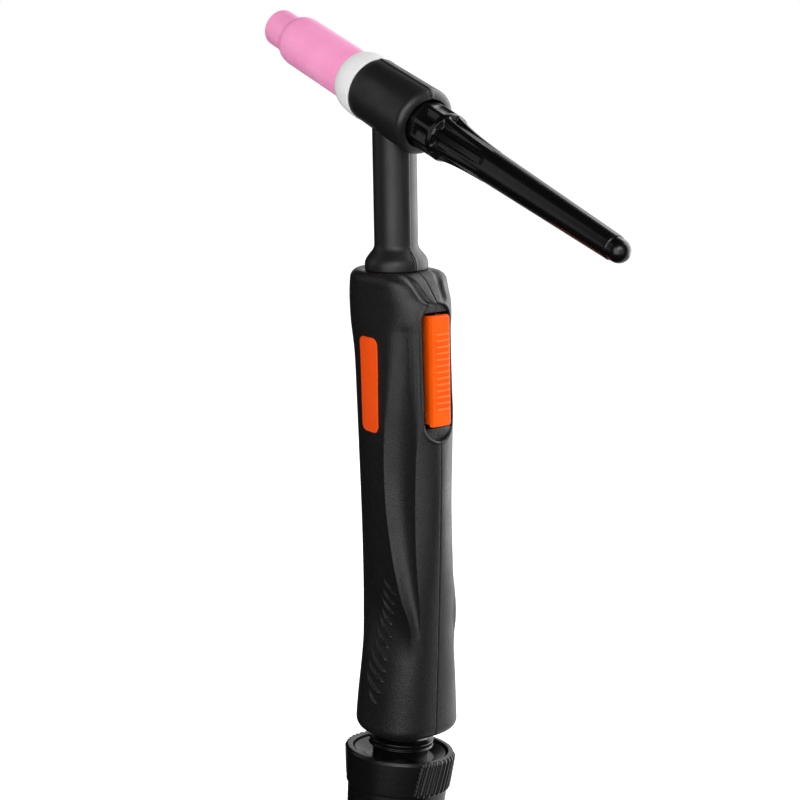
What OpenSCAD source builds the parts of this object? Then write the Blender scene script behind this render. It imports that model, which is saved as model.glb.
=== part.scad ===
// TIG torch with a 70 degree head, a split-shell handle and a ball-jointed cable outlet.
// Origin: middle of the grip, on the neck's axis. +Z runs up the neck, +X is the trigger side,
// and the left shell (-Y) carries the side badge.

/* [Head] */
// Height of the head's axis above the grip point
head_z = 130; // [115:1:150]
// Angle between the electrode and the handle
head_angle = 70; // [60:1:80]
// Radius of the head moulding at its front rim
head_front_r = 10.4; // [9.6:0.1:12]
// Radius of the head moulding at its rear
head_rear_r = 10.9; // [10:0.1:12]
// Length of the head moulding in front of the neck's axis
head_front_len = 10.5; // [9.5:0.5:14]
// Length of the head moulding behind the neck's axis
head_rear_len = 18; // [16:0.5:22]
// Rounding of the head moulding's rear edge
head_rear_round = 2.6; // [1:0.1:2.8]
// Radius of the socket that the back cap enters
cap_socket_r = 8; // [7.6:0.1:8.2]
// Depth of that socket
cap_socket_depth = 5; // [3:0.5:6]
// Radius of the brass head core
core_r = 6.6; // [6:0.1:7]
// Radius of the core's front thread
front_thread_r = 4.6; // [3.6:0.1:5]
// Depth of the core's front thread
front_thread_depth = 8; // [6:0.5:8.5]
// Radius of the core's rear thread
rear_thread_r = 4.5; // [3.6:0.1:5]
// Depth of the core's rear thread
rear_thread_depth = 10; // [8:0.5:11]
// Radius of the gas passage between the two threads
core_passage_r = 3.2; // [2.9:0.1:3.4]

/* [Nozzle and gasket] */
// Outside diameter of the gas nozzle
nozzle_od = 17; // [16:0.1:18]
// Outside diameter of the nozzle's tip
nozzle_tip_od = 12.6; // [11.8:0.1:13]
// Bore of the nozzle's mouth
nozzle_mouth_d = 9.6; // [9:0.1:10.4]
// Length of the nozzle
nozzle_len = 47; // [45:0.5:52]
// Length of the tip ahead of the shoulder
nozzle_tip_len = 10.5; // [8:0.5:11]
// Length of the rounded shoulder
nozzle_shoulder_len = 4.4; // [3:0.1:5]
// Depth of the nozzle's thread
nozzle_thread_len = 14; // [10:0.5:16]
// Wall of the nozzle at its thread
nozzle_wall = 2.05; // [1.6:0.05:2.2]
// Length of the cup gasket between nozzle and head
gasket_len = 9.6; // [8:0.1:12]
// How far the gasket's front rim stands out of the nozzle
gasket_lip = 0.3; // [0.1:0.05:0.6]
// How far the gasket stands proud of the head
gasket_proud = 0.35; // [0:0.05:0.8]

/* [Collet] */
// Radius of the collet's bore, for a 2.4 mm electrode
collet_bore_r = 1.25; // [0.9:0.05:1.3]
// Outside radius of the collet
collet_r = 1.85; // [1.7:0.05:2]
// Length of the collet
collet_len = 53; // [52.5:0.5:54]
// Width of the collet's four slits
collet_slit = 0.4; // [0.3:0.05:0.45]
// Length of the slits
collet_slit_len = 16; // [10:1:20]
// Outside radius of the collet body behind its nose
collet_body_r = 5; // [4.6:0.1:5.2]
// How far the collet body's nose stays inside the nozzle's mouth
nose_inset = 10; // [9.5:0.5:10.5]
// Radius of the gas ports
gas_port_r = 0.9; // [0.6:0.1:1]
// Gas ports round the collet body
gas_ports = 4; // [4:2:6]

/* [Back cap] */
// Length of the back cap from the head's socket floor to its end
cap_len = 100.5; // [90:0.5:115]
// Radius of the scalloped collar
cap_collar_r = 7.7; // [7.2:0.1:7.7]
// Length of the scalloped collar
cap_collar_len = 15.5; // [12:0.5:18]
// Radius of the barrel at its front
cap_barrel_r = 5.6; // [5.2:0.1:6]
// Radius of the barrel at its rear
cap_tip_r = 3.6; // [3.4:0.1:4.2]
// Radius of the electrode space in the cap
cap_bore_r = 1.9; // [1.6:0.1:2.1]
// Wall left at the cap's end
cap_end_wall = 3; // [2:0.5:5]
// Flutes round the collar
cap_flutes = 8; // [6:1:10]
// Length of the grip fins behind the collar
fin_len = 20; // [14:1:24]
// How far the fins stand out of the barrel at their front
fin_height = 1.7; // [1:0.1:1.8]
// Thickness of a fin
fin_w = 2; // [1.4:0.1:2.4]
// Radius of the threaded insert's nose
insert_nose_r = 2.9; // [2.4:0.1:3]
// Radius of the gas and electrode bore in the insert
insert_bore_r = 1.7; // [1.5:0.05:1.75]
// Length of the insert's stem inside the cap
insert_stem_len = 9; // [6:0.5:12]
// Radius of the insert's stem
insert_stem_r = 3.3; // [3:0.1:3.6]
// Thickness of the cap's sealing ring
oring_d = 1.5; // [1.2:0.1:1.6]

/* [Neck] */
// Outside radius of the neck sleeve
neck_r = 7.05; // [6.8:0.05:7.4]
// Radius of the sleeve's spigots in the head and the handle
neck_spigot_r = 6.2; // [5.4:0.1:6.4]
// Radius of the flare that sits on the handle
flare_r = 10.2; // [9.4:0.1:10.8]
// Height of the flare
flare_len = 7; // [5:0.5:9]
// Length of the sleeve's spigot inside the handle
neck_spigot_len = 9; // [7:0.5:10]
// Outside radius of the copper neck tube
tube_r = 4; // [3.4:0.1:4.2]
// Wall of the neck tube
tube_wall = 1.1; // [0.8:0.1:1.4]

/* [Handle] */
// Top of the handle above the grip point
handle_top = 77; // [76:0.5:80]
// Bottom of the handle below the grip point
handle_bottom = 77.5; // [76:0.5:80]
// Wall of the shells
shell_wall = 2.2; // [1.8:0.1:2.3]
// Rounding of the handle's top edge
top_round = 3; // [1.5:0.1:3.2]
// Rounding of the handle's bottom edge
foot_round = 3.6; // [1.5:0.1:4]
// Gap between the two shells at the parting line
parting_gap = 0.1; // [0.05:0.05:0.2]
// Half-width of the handle beside the trigger
half_w_trigger = 12.6; // [12.2:0.1:14]
// Half-width of the handle at its waist
half_w_waist = 12.1; // [11.8:0.1:13.5]
// Half-width of the handle at its foot
half_w_foot = 16; // [15.8:0.1:17]
// Reach of the handle's front at the trigger
front_trigger = 21.9; // [21.4:0.1:23]
// Reach of the handle's front at its lower grip
front_grip = 19.6; // [18.5:0.1:21]
// Reach of the handle's front at its foot
front_foot = 17.2; // [16.6:0.1:18.5]
// Reach of the handle's back at its heel, near the top
back_heel = 19.4; // [18:0.1:21]
// Reach of the handle's back at its waist
back_waist = 14.4; // [13.6:0.1:16]
// Reach of the handle's back at its foot
back_foot = 17.4; // [16.6:0.1:18.5]

/* [Badge] */
// Width of the side badge
badge_w = 10.2; // [8:0.1:11]
// Height of the side badge
badge_h = 31; // [26:0.5:34]
// Height of the badge's centre above the grip point
badge_z = 40.8; // [38:0.2:44]
// Corner radius of the badge
badge_corner = 2.6; // [1:0.1:4]
// Thickness of the badge
badge_t = 0.9; // [0.6:0.1:1.2]
// How far the badge stands proud of the shell
badge_proud = 0.3; // [0:0.05:0.5]

/* [Trigger] */
// Width of the trigger
trigger_w = 6.9; // [6:0.1:7.4]
// Length of the trigger
trigger_len = 35.6; // [34.6:0.2:37]
// Thickness of the trigger's plate
trigger_t = 3.4; // [2.6:0.1:3.6]
// Reach of the trigger's face from the neck's axis
trigger_face_x = 23.3; // [22.9:0.1:24]
// Distance from the handle's top down to the trigger's upper end
trigger_drop = 12.5; // [12:0.1:13]
// Crosswise ribs on the trigger
trigger_ribs = 13; // [9:1:14]
// Pitch of those ribs
trigger_rib_pitch = 2; // [1.8:0.1:2.1]
// Height of those ribs
trigger_rib_h = 0.45; // [0.2:0.05:0.6]
// Full press of the trigger, in degrees
trigger_press = 3; // [2:0.5:3]
// Radius of the trigger's hinge pin
pin_r = 1; // [0.8:0.05:1.2]
// Gap round the trigger in its recess, at the sides
recess_side_gap = 1.8; // [1.4:0.1:2.4]
// Gap round the trigger in its recess, at the ends
recess_end_gap = 3.6; // [3:0.1:4]
// Thickness of the recess's walls and floor
recess_wall = 1.6; // [1.2:0.1:1.8]
// Depth of the space between trigger and recess floor
recess_depth = 5.5; // [5:0.1:6]
// Mean radius of the return spring
spring_r = 1.7; // [1.3:0.1:1.9]
// Wire diameter of the return spring
spring_wire = 0.6; // [0.4:0.05:0.7]
// Turns of the return spring
spring_turns = 4; // [3:0.5:4.5]

/* [Switch] */
// Length of the microswitch
switch_len = 12.8; // [12:0.1:13.4]
// Depth of the microswitch
switch_depth = 6; // [5.4:0.1:6.2]
// Width of the microswitch
switch_w = 5.8; // [5:0.1:6.2]
// How far the plunger stands out
plunger_out = 1.5; // [1.4:0.05:1.6]
// Width of the plunger
plunger_w = 2; // [1.4:0.1:2.4]
// Wall of the switch carrier
carrier_wall = 1.2; // [0.9:0.1:1.4]

/* [Power fitting] */
// Width of the adapter nut across its flats
nut_af = 13; // [12:0.1:13.4]
// Height of the nut
nut_len = 12; // [9:0.5:14]
// Height of the nut's foot above the grip point
nut_z = 24; // [22:0.5:26]
// Length of the hose spigot
hose_spigot_len = 16; // [12:0.5:18]
// Radius of the hose spigot
hose_spigot_r = 3.5; // [3.2:0.1:3.8]
// Barbs on the hose spigot
barbs = 3; // [2:1:4]
// Wall of the rubber boot
boot_wall = 1.2; // [1:0.1:1.4]

/* [Screws] */
// Radius of the screw shank
screw_r = 1.4; // [1.2:0.05:1.5]
// Radius of the screw head
screw_head_r = 2.6; // [2.3:0.1:2.7]
// Height of the screw head
screw_head_h = 1.8; // [1.4:0.1:2.2]
// Depth of the screw heads below the shell's half-width
screw_sink = 3.6; // [3.2:0.1:4.2]
// Radius of the screw bosses
boss_r = 2.7; // [2.4:0.1:2.8]

/* [Cable swivel] */
// Height of the ball's centre below the grip point
ball_drop = 70; // [69:0.5:70]
// Radius of the ball
ball_r = 11; // [10.6:0.1:11]
// Thickness of the friction band
band_t = 0.8; // [0.6:0.05:0.8]
// Half-height of the friction band
band_half_h = 3.6; // [2.8:0.1:3.8]
// Outside radius of the bearing liner
liner_r = 13.2; // [13:0.1:13.3]
// Radius of the cable passage
cable_bore_r = 6.6; // [5.5:0.1:6.8]
// Radius of the ball's neck
ball_neck_r = 8.1; // [7.6:0.1:8.2]
// Radius of the flange that sits in the dish
flange_r = 10.4; // [9.6:0.1:11]
// Distance from the ball's centre to the collar's rim
collar_drop = 15; // [15:0.5:17]
// Radius of the collar's rim
collar_r = 18.7; // [17.5:0.1:18.8]
// Width of the collar's rim
rim_w = 1.9; // [1.4:0.1:2.6]
// Depth of the dish in the collar's top
dish_depth = 2.6; // [2:0.1:3]
// Height of the ribbed part of the collar
collar_len = 12.2; // [12:0.2:16]
// Half-angle of the collar's taper, in degrees
collar_taper = 6.2; // [5:0.1:8]
// Step in from the collar's foot to its tail
tail_step = 0.6; // [0.4:0.1:1.5]
// Length of the collar's tail
tail_len = 12; // [8:0.5:14]
// Radius of the tube that carries the collar
swivel_tube_r = 8.4; // [8.1:0.1:9]
// Grip ribs on each side of the collar
collar_ribs = 11; // [7:2:13]
// Angle between neighbouring collar ribs, in degrees
collar_rib_step = 6.6; // [6:0.2:7]
// Height of the collar ribs
collar_rib_h = 0.5; // [0.3:0.05:0.6]
// Tilt of the swivel as it lies at rest, about X, in degrees
rest_tilt_x = -6.5; // [-9:0.5:9]
// Tilt of the swivel as it lies at rest, about Y, in degrees
rest_tilt_y = 1; // [-4:0.5:4]

/* [Fits] */
// Radial clearance of pieces that seat in each other
seat_gap = 0.03; // [0.02:0.01:0.05]
// Radial clearance of pins and threads that turn
turn_gap = 0.05; // [0.03:0.01:0.08]
// Gap between faces that meet
face_gap = 0.05; // [0.03:0.01:0.08]
// Clearance round pieces that slide or swing
swing_gap = 0.25; // [0.2:0.05:0.3]

/* [Hidden] */
$fn = 64;
eps = 0.01;
past = 1;
fine = 24;
head_tilt = 90 - head_angle;

// Places along the head's axis, from the neck's axis: minus is towards the nozzle's tip
head_front_t = -head_front_len;
socket_floor_t = head_rear_len - cap_socket_depth;
gasket_front_t = head_front_t - gasket_len;
nozzle_back_t = gasket_front_t - face_gap;
nozzle_tip_t = nozzle_back_t - nozzle_len;
nozzle_thread_r = nozzle_od / 2 - nozzle_wall;
body_nose_t = nozzle_tip_t + nose_inset;
collet_nose_wall = 2.2;
collet_front_t = body_nose_t + collet_nose_wall;
collet_back_t = collet_front_t + collet_len;
body_flange_r = 6.2;
oring_r = rear_thread_r + oring_d / 2;
cap_front_t = socket_floor_t + oring_d + 2 * face_gap;
cap_end_t = socket_floor_t + cap_len;
fin_front_t = cap_front_t + cap_collar_len;

// Heights in the row frame
flare_z = handle_top + face_gap;
sleeve_cut = 0.6;
sleeve_cut_r = head_rear_r + sleeve_cut;
spigot_cut = 2;
spigot_cut_r = core_r + spigot_cut;
tube_top_z = head_z - 0.76 * core_r;
tube_seat = 8;
tube_foot_z = nut_z + nut_len - tube_seat;
nut_corner_r = nut_af / 2 / cos(30);
nut_top_z = nut_z + nut_len;
adapter_neck_wall = 1.5;
adapter_neck_r = tube_r + adapter_neck_wall;
adapter_neck_len = 3;
ball_z = -ball_drop;

// Trigger and its recess
trigger_back_x = trigger_face_x - trigger_t;
floor_x = trigger_back_x - recess_depth;
recess_half_w = trigger_w / 2 + recess_side_gap;
trigger_top_z = handle_top - trigger_drop;
trigger_z = trigger_top_z - trigger_len;
heel_gap = 1.3;
recess_low_z = trigger_z - recess_end_gap - heel_gap;
recess_high_z = trigger_top_z + recess_end_gap;
pin_back = 2.6;
pin_x = trigger_back_x - pin_back;
pin_inset = 3.1;
pin_z = trigger_z + pin_inset;
ear_w = 4.4;
ear_r = 2.2;
stem_inset = 10.5;
stem_z = trigger_top_z - stem_inset;
spring_z = (pin_z + stem_z) / 2;
stem_w = 2.4;
stem_t = 1.8;
hook_inset = 2.2;
hook_z = trigger_top_z - hook_inset;
hook_reach = 1.3;
hook_t = 0.8;
plunger_tip_x = floor_x - recess_wall - face_gap;
hook_back_x = floor_x - recess_wall - swing_gap - hook_t;
plunger_seat = 3;
switch_front_x = plunger_tip_x - plunger_out;
switch_back_x = switch_front_x - switch_depth;
carrier_half_w = switch_w / 2 + carrier_wall + 2 * swing_gap;
terminal_w = 1.6;
terminal_t = 0.5;
terminal_len = 6;
terminal_seat = 1;
terminal_y = 1.3;
pin_seat = 1.1;
pin_half_len = recess_half_w + pin_seat;

// How far the front slopes back at the top of the handle
top_slope = 8.6;

// Handle outline: [height, front reach, back reach, half-width, front squareness, back squareness].
// Squareness is the exponent of the section's superellipse: 2 is an ellipse, more is boxier.
handle_outline = [
    [-handle_bottom, front_foot, back_foot, half_w_foot, 2.1, 2],
    [-0.88 * handle_bottom, front_foot + 0.4, back_foot - 0.8, half_w_foot - 0.8, 2.25, 2],
    [-0.66 * handle_bottom, front_grip - 0.9, back_waist - 0.6, half_w_waist + 1.9, 2.3, 2],
    [-0.44 * handle_bottom, front_grip, back_waist - 1.1, half_w_waist + 1, 2.5, 2],
    [-0.22 * handle_bottom, front_grip + 0.9, back_waist - 0.6, half_w_waist + 0.3, 2.25, 2],
    [0, front_trigger - 0.6, back_waist + 0.2, half_w_waist, 2.05, 2],
    [0.26 * handle_top, front_trigger, back_waist + 0.9, half_w_trigger - 0.3, 2.1, 2],
    [0.44 * handle_top, front_trigger - 0.1, back_waist + 1.4, half_w_trigger - 0.1, 2.4, 2],
    [0.65 * handle_top, front_trigger - 0.3, back_waist + 2.4, half_w_trigger, 2.43, 2],
    [0.78 * handle_top, front_trigger - 0.4, back_heel - 0.6, half_w_trigger + 0.2, 2.4, 2],
    [0.88 * handle_top, front_trigger - 0.9, back_heel, half_w_trigger + 0.2, 2.4, 2],
    [0.935 * handle_top, front_trigger - 0.49 * top_slope, back_heel - 0.4, half_w_trigger + 0.2, 2.9, 2],
    [handle_top, front_trigger - top_slope, back_heel - 1.2, half_w_trigger + 0.1, 4.4, 2]
];
end_rows = 5;
outer_heights = concat(
    [for (k = [0 : end_rows - 1]) -handle_bottom + foot_round * (1 - cos(90 * k / end_rows))],
    even_heights(-handle_bottom + foot_round, handle_top - top_round, 34),
    [for (k = [end_rows - 1 : -1 : 0]) handle_top - top_round * (1 - cos(90 * k / end_rows))]
);
inner_heights = even_heights(-handle_bottom + shell_wall, handle_top - shell_wall, 20);
outer_steps = 20;
inner_steps = 12;

// Screw places: [x, z]
boss_gap = 3.5;
low_boss_gap = 4.4;
liner_boss_gap = 6.4;
boss_x = floor_x - 2.8;
low_boss_x = floor_x - 1.4;
foot_boss_inset = 6.6;
foot_boss_x = front_foot - foot_boss_inset;
liner_top = 6;
screw_places = [
    [boss_x, recess_high_z + boss_gap],
    [low_boss_x, recess_low_z - low_boss_gap],
    [foot_boss_x, ball_z + liner_top + liner_boss_gap]
];
head_boss_wall = 1.5;
head_boss_r = screw_head_r + head_boss_wall;
head_seat_y = half_w_trigger - screw_sink - screw_head_h;
screw_end_y = 8;
peg_r = 1.2;
peg_x = switch_front_x - switch_depth / 2 - 0.4;
peg_end_y = 8.4;

// Cable swivel, from the ball's centre downwards
band_r = ball_r + turn_gap + band_t;
liner_seat_r = band_r + turn_gap;
liner_bottom = -5.2;
foot_lip_r = 10.9;
foot_mouth_r = 12.6;
dish_z = -collar_drop - dish_depth;
flange_t = 2.2;
collar_foot_r = collar_r - collar_len * tan(collar_taper);
tail_r = collar_foot_r - tail_step;
tail_z = -collar_drop - collar_len;
ring_seat = 3;
tube_end_z = tail_z - tail_len - ring_seat;
ring_t = 1;

// Puts children, drawn with +Z towards the back cap, on the head's axis
module on_head_axis() {
    translate([0, 0, head_z])
        rotate([0, 90 + head_tilt, 0])
            children();
}

// Puts children, drawn round the ball's centre, in the swivel's rest tilt
module tilted_x() {
    translate([0, 0, ball_z])
        rotate([rest_tilt_x, 0, 0])
            children();
}

module tilted_xy() {
    tilted_x()
        rotate([0, rest_tilt_y, 0])
            children();
}

// A cylinder between two heights
module rod(r, low, high) {
    translate([0, 0, low])
        cylinder(r = r, h = high - low);
}

// A cylinder along Y between two places
module rod_y(r, x, z, low, high) {
    translate([x, low, z])
        rotate([-90, 0, 0])
            cylinder(r = r, h = high - low, $fn = fine);
}

// A box between two corners
module block(low, high) {
    translate(low)
        cube(high - low);
}

// Points of an arc round a centre
function arc(centre, r, from, to, steps = 8) =
    [for (i = [0 : steps]) let (a = from + (to - from) * i / steps)
        centre + r * [cos(a), sin(a)]];

// Smooth value of one column of the handle's outline at height z
function row_at(z, i = 0) =
    i >= len(handle_outline) - 2 || z < handle_outline[i + 1][0] ? i : row_at(z, i + 1);
function slope(i, column) =
    let (a = max(i - 1, 0), b = min(i + 1, len(handle_outline) - 1))
        (handle_outline[b][column] - handle_outline[a][column])
        / (handle_outline[b][0] - handle_outline[a][0]);
function outline_at(z, column) =
    let (
        i = row_at(z),
        span = handle_outline[i + 1][0] - handle_outline[i][0],
        u = (z - handle_outline[i][0]) / span,
        p = handle_outline[i][column],
        q = handle_outline[i + 1][column],
        m = slope(i, column) * span,
        n = slope(i + 1, column) * span
    )
        (2 * u ^ 3 - 3 * u ^ 2 + 1) * p + (u ^ 3 - 2 * u ^ 2 + u) * m
        + (3 * u ^ 2 - 2 * u ^ 3) * q + (u ^ 3 - u ^ 2) * n;

// How far the end roundings draw the section in at height z
function round_inset(depth, r) =
    let (short = max(r - depth, 0))
        r - sqrt(max(r ^ 2 - short ^ 2, 0));
function end_inset(z) =
    round_inset(handle_top - z, top_round) + round_inset(z + handle_bottom, foot_round);

// Heights from low to high in n equal steps
function even_heights(low, high, n) = [for (i = [0 : n]) low + (high - low) * i / n];

// Half of the handle's section at height z, from front to back, drawn in by inset
function half_section(z, side, inset, seam, steps) =
    let (
        cut = inset + end_inset(z),
        front = outline_at(z, 1) - cut,
        back = outline_at(z, 2) - cut,
        half_w = outline_at(z, 3) - cut
    )
    [for (k = [0 : steps])
        let (
            a = 180 * k / steps,
            ahead = cos(a) >= 0,
            power = 2 / outline_at(z, ahead ? 4 : 5),
            x = (ahead ? front : -back) * pow(abs(cos(a)), power),
            y = k == 0 || k == steps ? seam : max(half_w * pow(sin(a), power), seam + eps)
        )
            [x, side * y, z]];

// Half of the handle as a closed solid; seam is the height of its flat side above Y = 0
module handle_half(side, inset, seam, heights, steps) {
    slices = len(heights) - 1;
    columns = steps + 1;
    points = [for (z = heights) each half_section(z, side, inset, seam, steps)];
    walls = [for (i = [0 : slices - 1], k = [0 : steps - 1])
        each [
            [i * columns + k, (i + 1) * columns + k, (i + 1) * columns + k + 1],
            [i * columns + k, (i + 1) * columns + k + 1, i * columns + k + 1]
        ]];
    flat_side = [for (i = [0 : slices - 1])
        [i * columns, i * columns + steps, (i + 1) * columns + steps, (i + 1) * columns]];
    bottom = [[for (k = [0 : steps]) k]];
    top = [[for (k = [steps : -1 : 0]) slices * columns + k]];
    faces = concat(walls, flat_side, bottom, top);
    flipped = [for (f = faces) [for (i = [len(f) - 1 : -1 : 0]) f[i]]];
    polyhedron(points = points, faces = side > 0 ? faces : flipped);
}

// ---- Head ----

// Screws onto the collet body; stepped alumina cup with a rounded shoulder
module gas_nozzle() {
    r = nozzle_od / 2;
    tip_r = nozzle_tip_od / 2;
    mouth_r = nozzle_mouth_d / 2;
    step_t = nozzle_tip_t + nozzle_tip_len;
    lip = 0.6;
    shoulder = [for (i = [0 : 8]) let (a = 90 * i / 8)
        [tip_r + (r - tip_r) * cos(a), step_t + nozzle_shoulder_len * (1 - sin(a))]];
    color("#e9a0c4")
        on_head_axis()
            rotate_extrude()
                polygon(concat(
                    [[r, nozzle_back_t]],
                    shoulder,
                    arc([tip_r - lip, nozzle_tip_t + lip], lip, 0, -90, 4),
                    [
                        [mouth_r, nozzle_tip_t],
                        [mouth_r, step_t],
                        [nozzle_thread_r, step_t + nozzle_shoulder_len],
                        [nozzle_thread_r, nozzle_back_t]
                    ]
                ));
}

// Domed PTFE shield that the nozzle seats on
module cup_gasket() {
    front_r = nozzle_od / 2 + gasket_lip;
    rear_r = head_front_r + gasket_proud;
    land = 1.4;
    dome = [for (i = [0 : 8]) let (a = 90 * i / 8)
        [front_r + (rear_r - front_r) * sin(a), gasket_front_t + (gasket_len - land) * (1 - cos(a))]];
    color("#f2f2ee")
        on_head_axis()
            rotate_extrude()
                polygon(concat(
                    dome,
                    [
                        [rear_r, head_front_t - face_gap],
                        [body_flange_r + seat_gap, head_front_t - face_gap],
                        [body_flange_r + seat_gap, gasket_front_t]
                    ]
                ));
}

// Carries the nozzle's thread, the gas ports and the collet's seat
module collet_body() {
    thread_r = nozzle_thread_r - turn_gap;
    shank_r = front_thread_r - turn_gap;
    shank_end_t = head_front_t + front_thread_depth - 0.5;
    nose_r = collet_r + 1.2;
    nose_len = 6;
    guide_len = 5;
    port_gap = 4;
    gas_r = collet_r + 0.6;
    port_t = body_nose_t + nose_len + guide_len + port_gap;
    color("#b87333")
        on_head_axis()
            difference() {
                rotate_extrude()
                    polygon([
                        [collet_bore_r + seat_gap, body_nose_t],
                        [nose_r, body_nose_t],
                        [collet_body_r, body_nose_t + nose_len],
                        [collet_body_r, nozzle_back_t - nozzle_thread_len],
                        [thread_r, nozzle_back_t - nozzle_thread_len],
                        [thread_r, nozzle_back_t],
                        [body_flange_r, nozzle_back_t],
                        [body_flange_r, head_front_t - face_gap],
                        [shank_r, head_front_t - face_gap],
                        [shank_r, shank_end_t],
                        [gas_r, shank_end_t],
                        [gas_r, collet_front_t + guide_len],
                        [collet_r + seat_gap, collet_front_t + guide_len],
                        [collet_r + seat_gap, collet_front_t - face_gap],
                        [collet_bore_r + seat_gap, collet_front_t - face_gap]
                    ]);
                for (i = [0 : gas_ports - 1])
                    rotate([0, 0, 360 * i / gas_ports])
                        translate([gas_r - past, 0, port_t])
                            rotate([0, 90, 0])
                                cylinder(r = gas_port_r, h = collet_body_r, $fn = fine);
            }
}

// Split sleeve that grips the electrode
module collet() {
    color("#c98a4b")
        on_head_axis()
            difference() {
                rod(collet_r, collet_front_t, collet_back_t);
                rod(collet_bore_r, collet_front_t - past, collet_back_t + past);
                for (turn = [0, 90])
                    rotate([0, 0, turn])
                        block(
                            [-collet_r - past, -collet_slit / 2, collet_front_t - past],
                            [collet_r + past, collet_slit / 2, collet_front_t + collet_slit_len]
                        );
            }
}

// Brass barrel that joins collet body, back cap and neck tube
module head_core() {
    color("#b5923c")
        difference() {
            on_head_axis()
                rod(core_r, head_front_t, socket_floor_t);
            on_head_axis() {
                rod(front_thread_r, head_front_t - past, head_front_t + front_thread_depth);
                rod(core_passage_r, head_front_t, socket_floor_t);
                rod(rear_thread_r, socket_floor_t - rear_thread_depth, socket_floor_t + past);
            }
            rod(tube_r + seat_gap, head_z - 2 * core_r, tube_top_z + face_gap);
            rod(tube_r - tube_wall, tube_top_z, head_z);
        }
}

// Moulded insulation round the core, with a short stub over the neck sleeve
module head_moulding() {
    rear_t = head_rear_len;
    color("#303032")
        difference() {
            union() {
                on_head_axis()
                    rotate_extrude()
                        polygon(concat(
                            [[0, head_front_t], [head_front_r, head_front_t]],
                            arc([head_rear_r - head_rear_round, rear_t - head_rear_round],
                                head_rear_round, 0, 90),
                            [[0, rear_t]]
                        ));
                intersection() {
                    rod(neck_r, head_z - 2 * head_rear_r, head_z);
                    on_head_axis()
                        rod(sleeve_cut_r, head_front_t, head_rear_len);
                }
            }
            on_head_axis() {
                rod(cap_socket_r, socket_floor_t, rear_t + past);
                rod(core_r + seat_gap, head_front_t - past, socket_floor_t + past);
            }
            difference() {
                rod(neck_spigot_r + seat_gap, head_z - 3 * head_rear_r, head_z);
                on_head_axis()
                    rod(spigot_cut_r, 2 * head_front_t, 2 * head_rear_len);
            }
            rod(tube_r + seat_gap, head_z - 3 * head_rear_r, head_z);
        }
}

// ---- Back cap ----

// Threaded brass nose of the back cap; it pushes the collet forward
module back_cap_insert() {
    thread_r = rear_thread_r - turn_gap;
    thread_front_t = socket_floor_t - rear_thread_depth + 2 * swing_gap;
    color("#b5923c")
        on_head_axis()
            difference() {
                union() {
                    rod(insert_nose_r, collet_back_t + face_gap, thread_front_t);
                    rod(thread_r, thread_front_t, cap_front_t - face_gap);
                    rod(insert_stem_r, cap_front_t - face_gap, cap_front_t + insert_stem_len);
                }
                rod(insert_bore_r, collet_back_t - past, cap_front_t + insert_stem_len + past);
            }
}

// Sealing ring between cap and head
module back_cap_oring() {
    color("#1c1c1c")
        on_head_axis()
            translate([0, 0, socket_floor_t + face_gap + oring_d / 2])
                rotate_extrude()
                    translate([oring_r, 0])
                        circle(d = oring_d, $fn = fine);
}

// Long cap with a scalloped collar, grip fins and a ball end
module back_cap() {
    collar_back_t = fin_front_t;
    chamfer = 1.2;
    ball_t = cap_end_t - cap_tip_r;
    flute_r = 4.2;
    flute_depth = 0.8;
    ring_t = ball_t - 1.6;
    ring_depth = 0.35;
    color("#141416")
        on_head_axis()
            difference() {
                union() {
                    rotate_extrude()
                        polygon(concat(
                            [
                                [0, cap_front_t],
                                [cap_collar_r - chamfer, cap_front_t],
                                [cap_collar_r, cap_front_t + chamfer],
                                [cap_collar_r, collar_back_t - chamfer],
                                [cap_barrel_r, collar_back_t + chamfer],
                                [cap_tip_r + ring_depth, ring_t - ring_depth],
                                [cap_tip_r, ring_t],
                                [cap_tip_r, ring_t + ring_depth]
                            ],
                            arc([0, ball_t], cap_tip_r, 0, 90, 10)
                        ));
                    for (i = [0 : cap_flutes - 1])
                        rotate([0, 0, 360 * (i + 0.5) / cap_flutes])
                            translate([0, fin_w / 2, 0])
                                rotate([90, 0, 0])
                                    linear_extrude(fin_w)
                                        polygon([
                                            [cap_barrel_r - 2, fin_front_t - 2 * chamfer],
                                            [cap_barrel_r + fin_height, fin_front_t],
                                            [cap_barrel_r - 0.5, fin_front_t + fin_len],
                                            [cap_barrel_r - 2, fin_front_t + fin_len]
                                        ]);
                }
                for (i = [0 : cap_flutes - 1])
                    rotate([0, 0, 360 * i / cap_flutes])
                        translate([cap_collar_r + flute_r - flute_depth, 0, 0])
                            rod(flute_r, cap_front_t + 3 * chamfer, collar_back_t - chamfer / 2, $fn = fine);
                rod(insert_stem_r + seat_gap, cap_front_t - past, cap_front_t + insert_stem_len + face_gap);
                rod(cap_bore_r, cap_front_t, cap_end_t - cap_end_wall);
            }
}

// ---- Neck ----

// Copper tube that carries gas and current from the handle to the core
module neck_tube() {
    color("#b87333")
        difference() {
            rod(tube_r, tube_foot_z, tube_top_z);
            rod(tube_r - tube_wall, tube_foot_z - past, tube_top_z + past);
            on_head_axis()
                rod(rear_thread_r + swing_gap, head_front_t, head_rear_len);
        }
}

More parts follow.
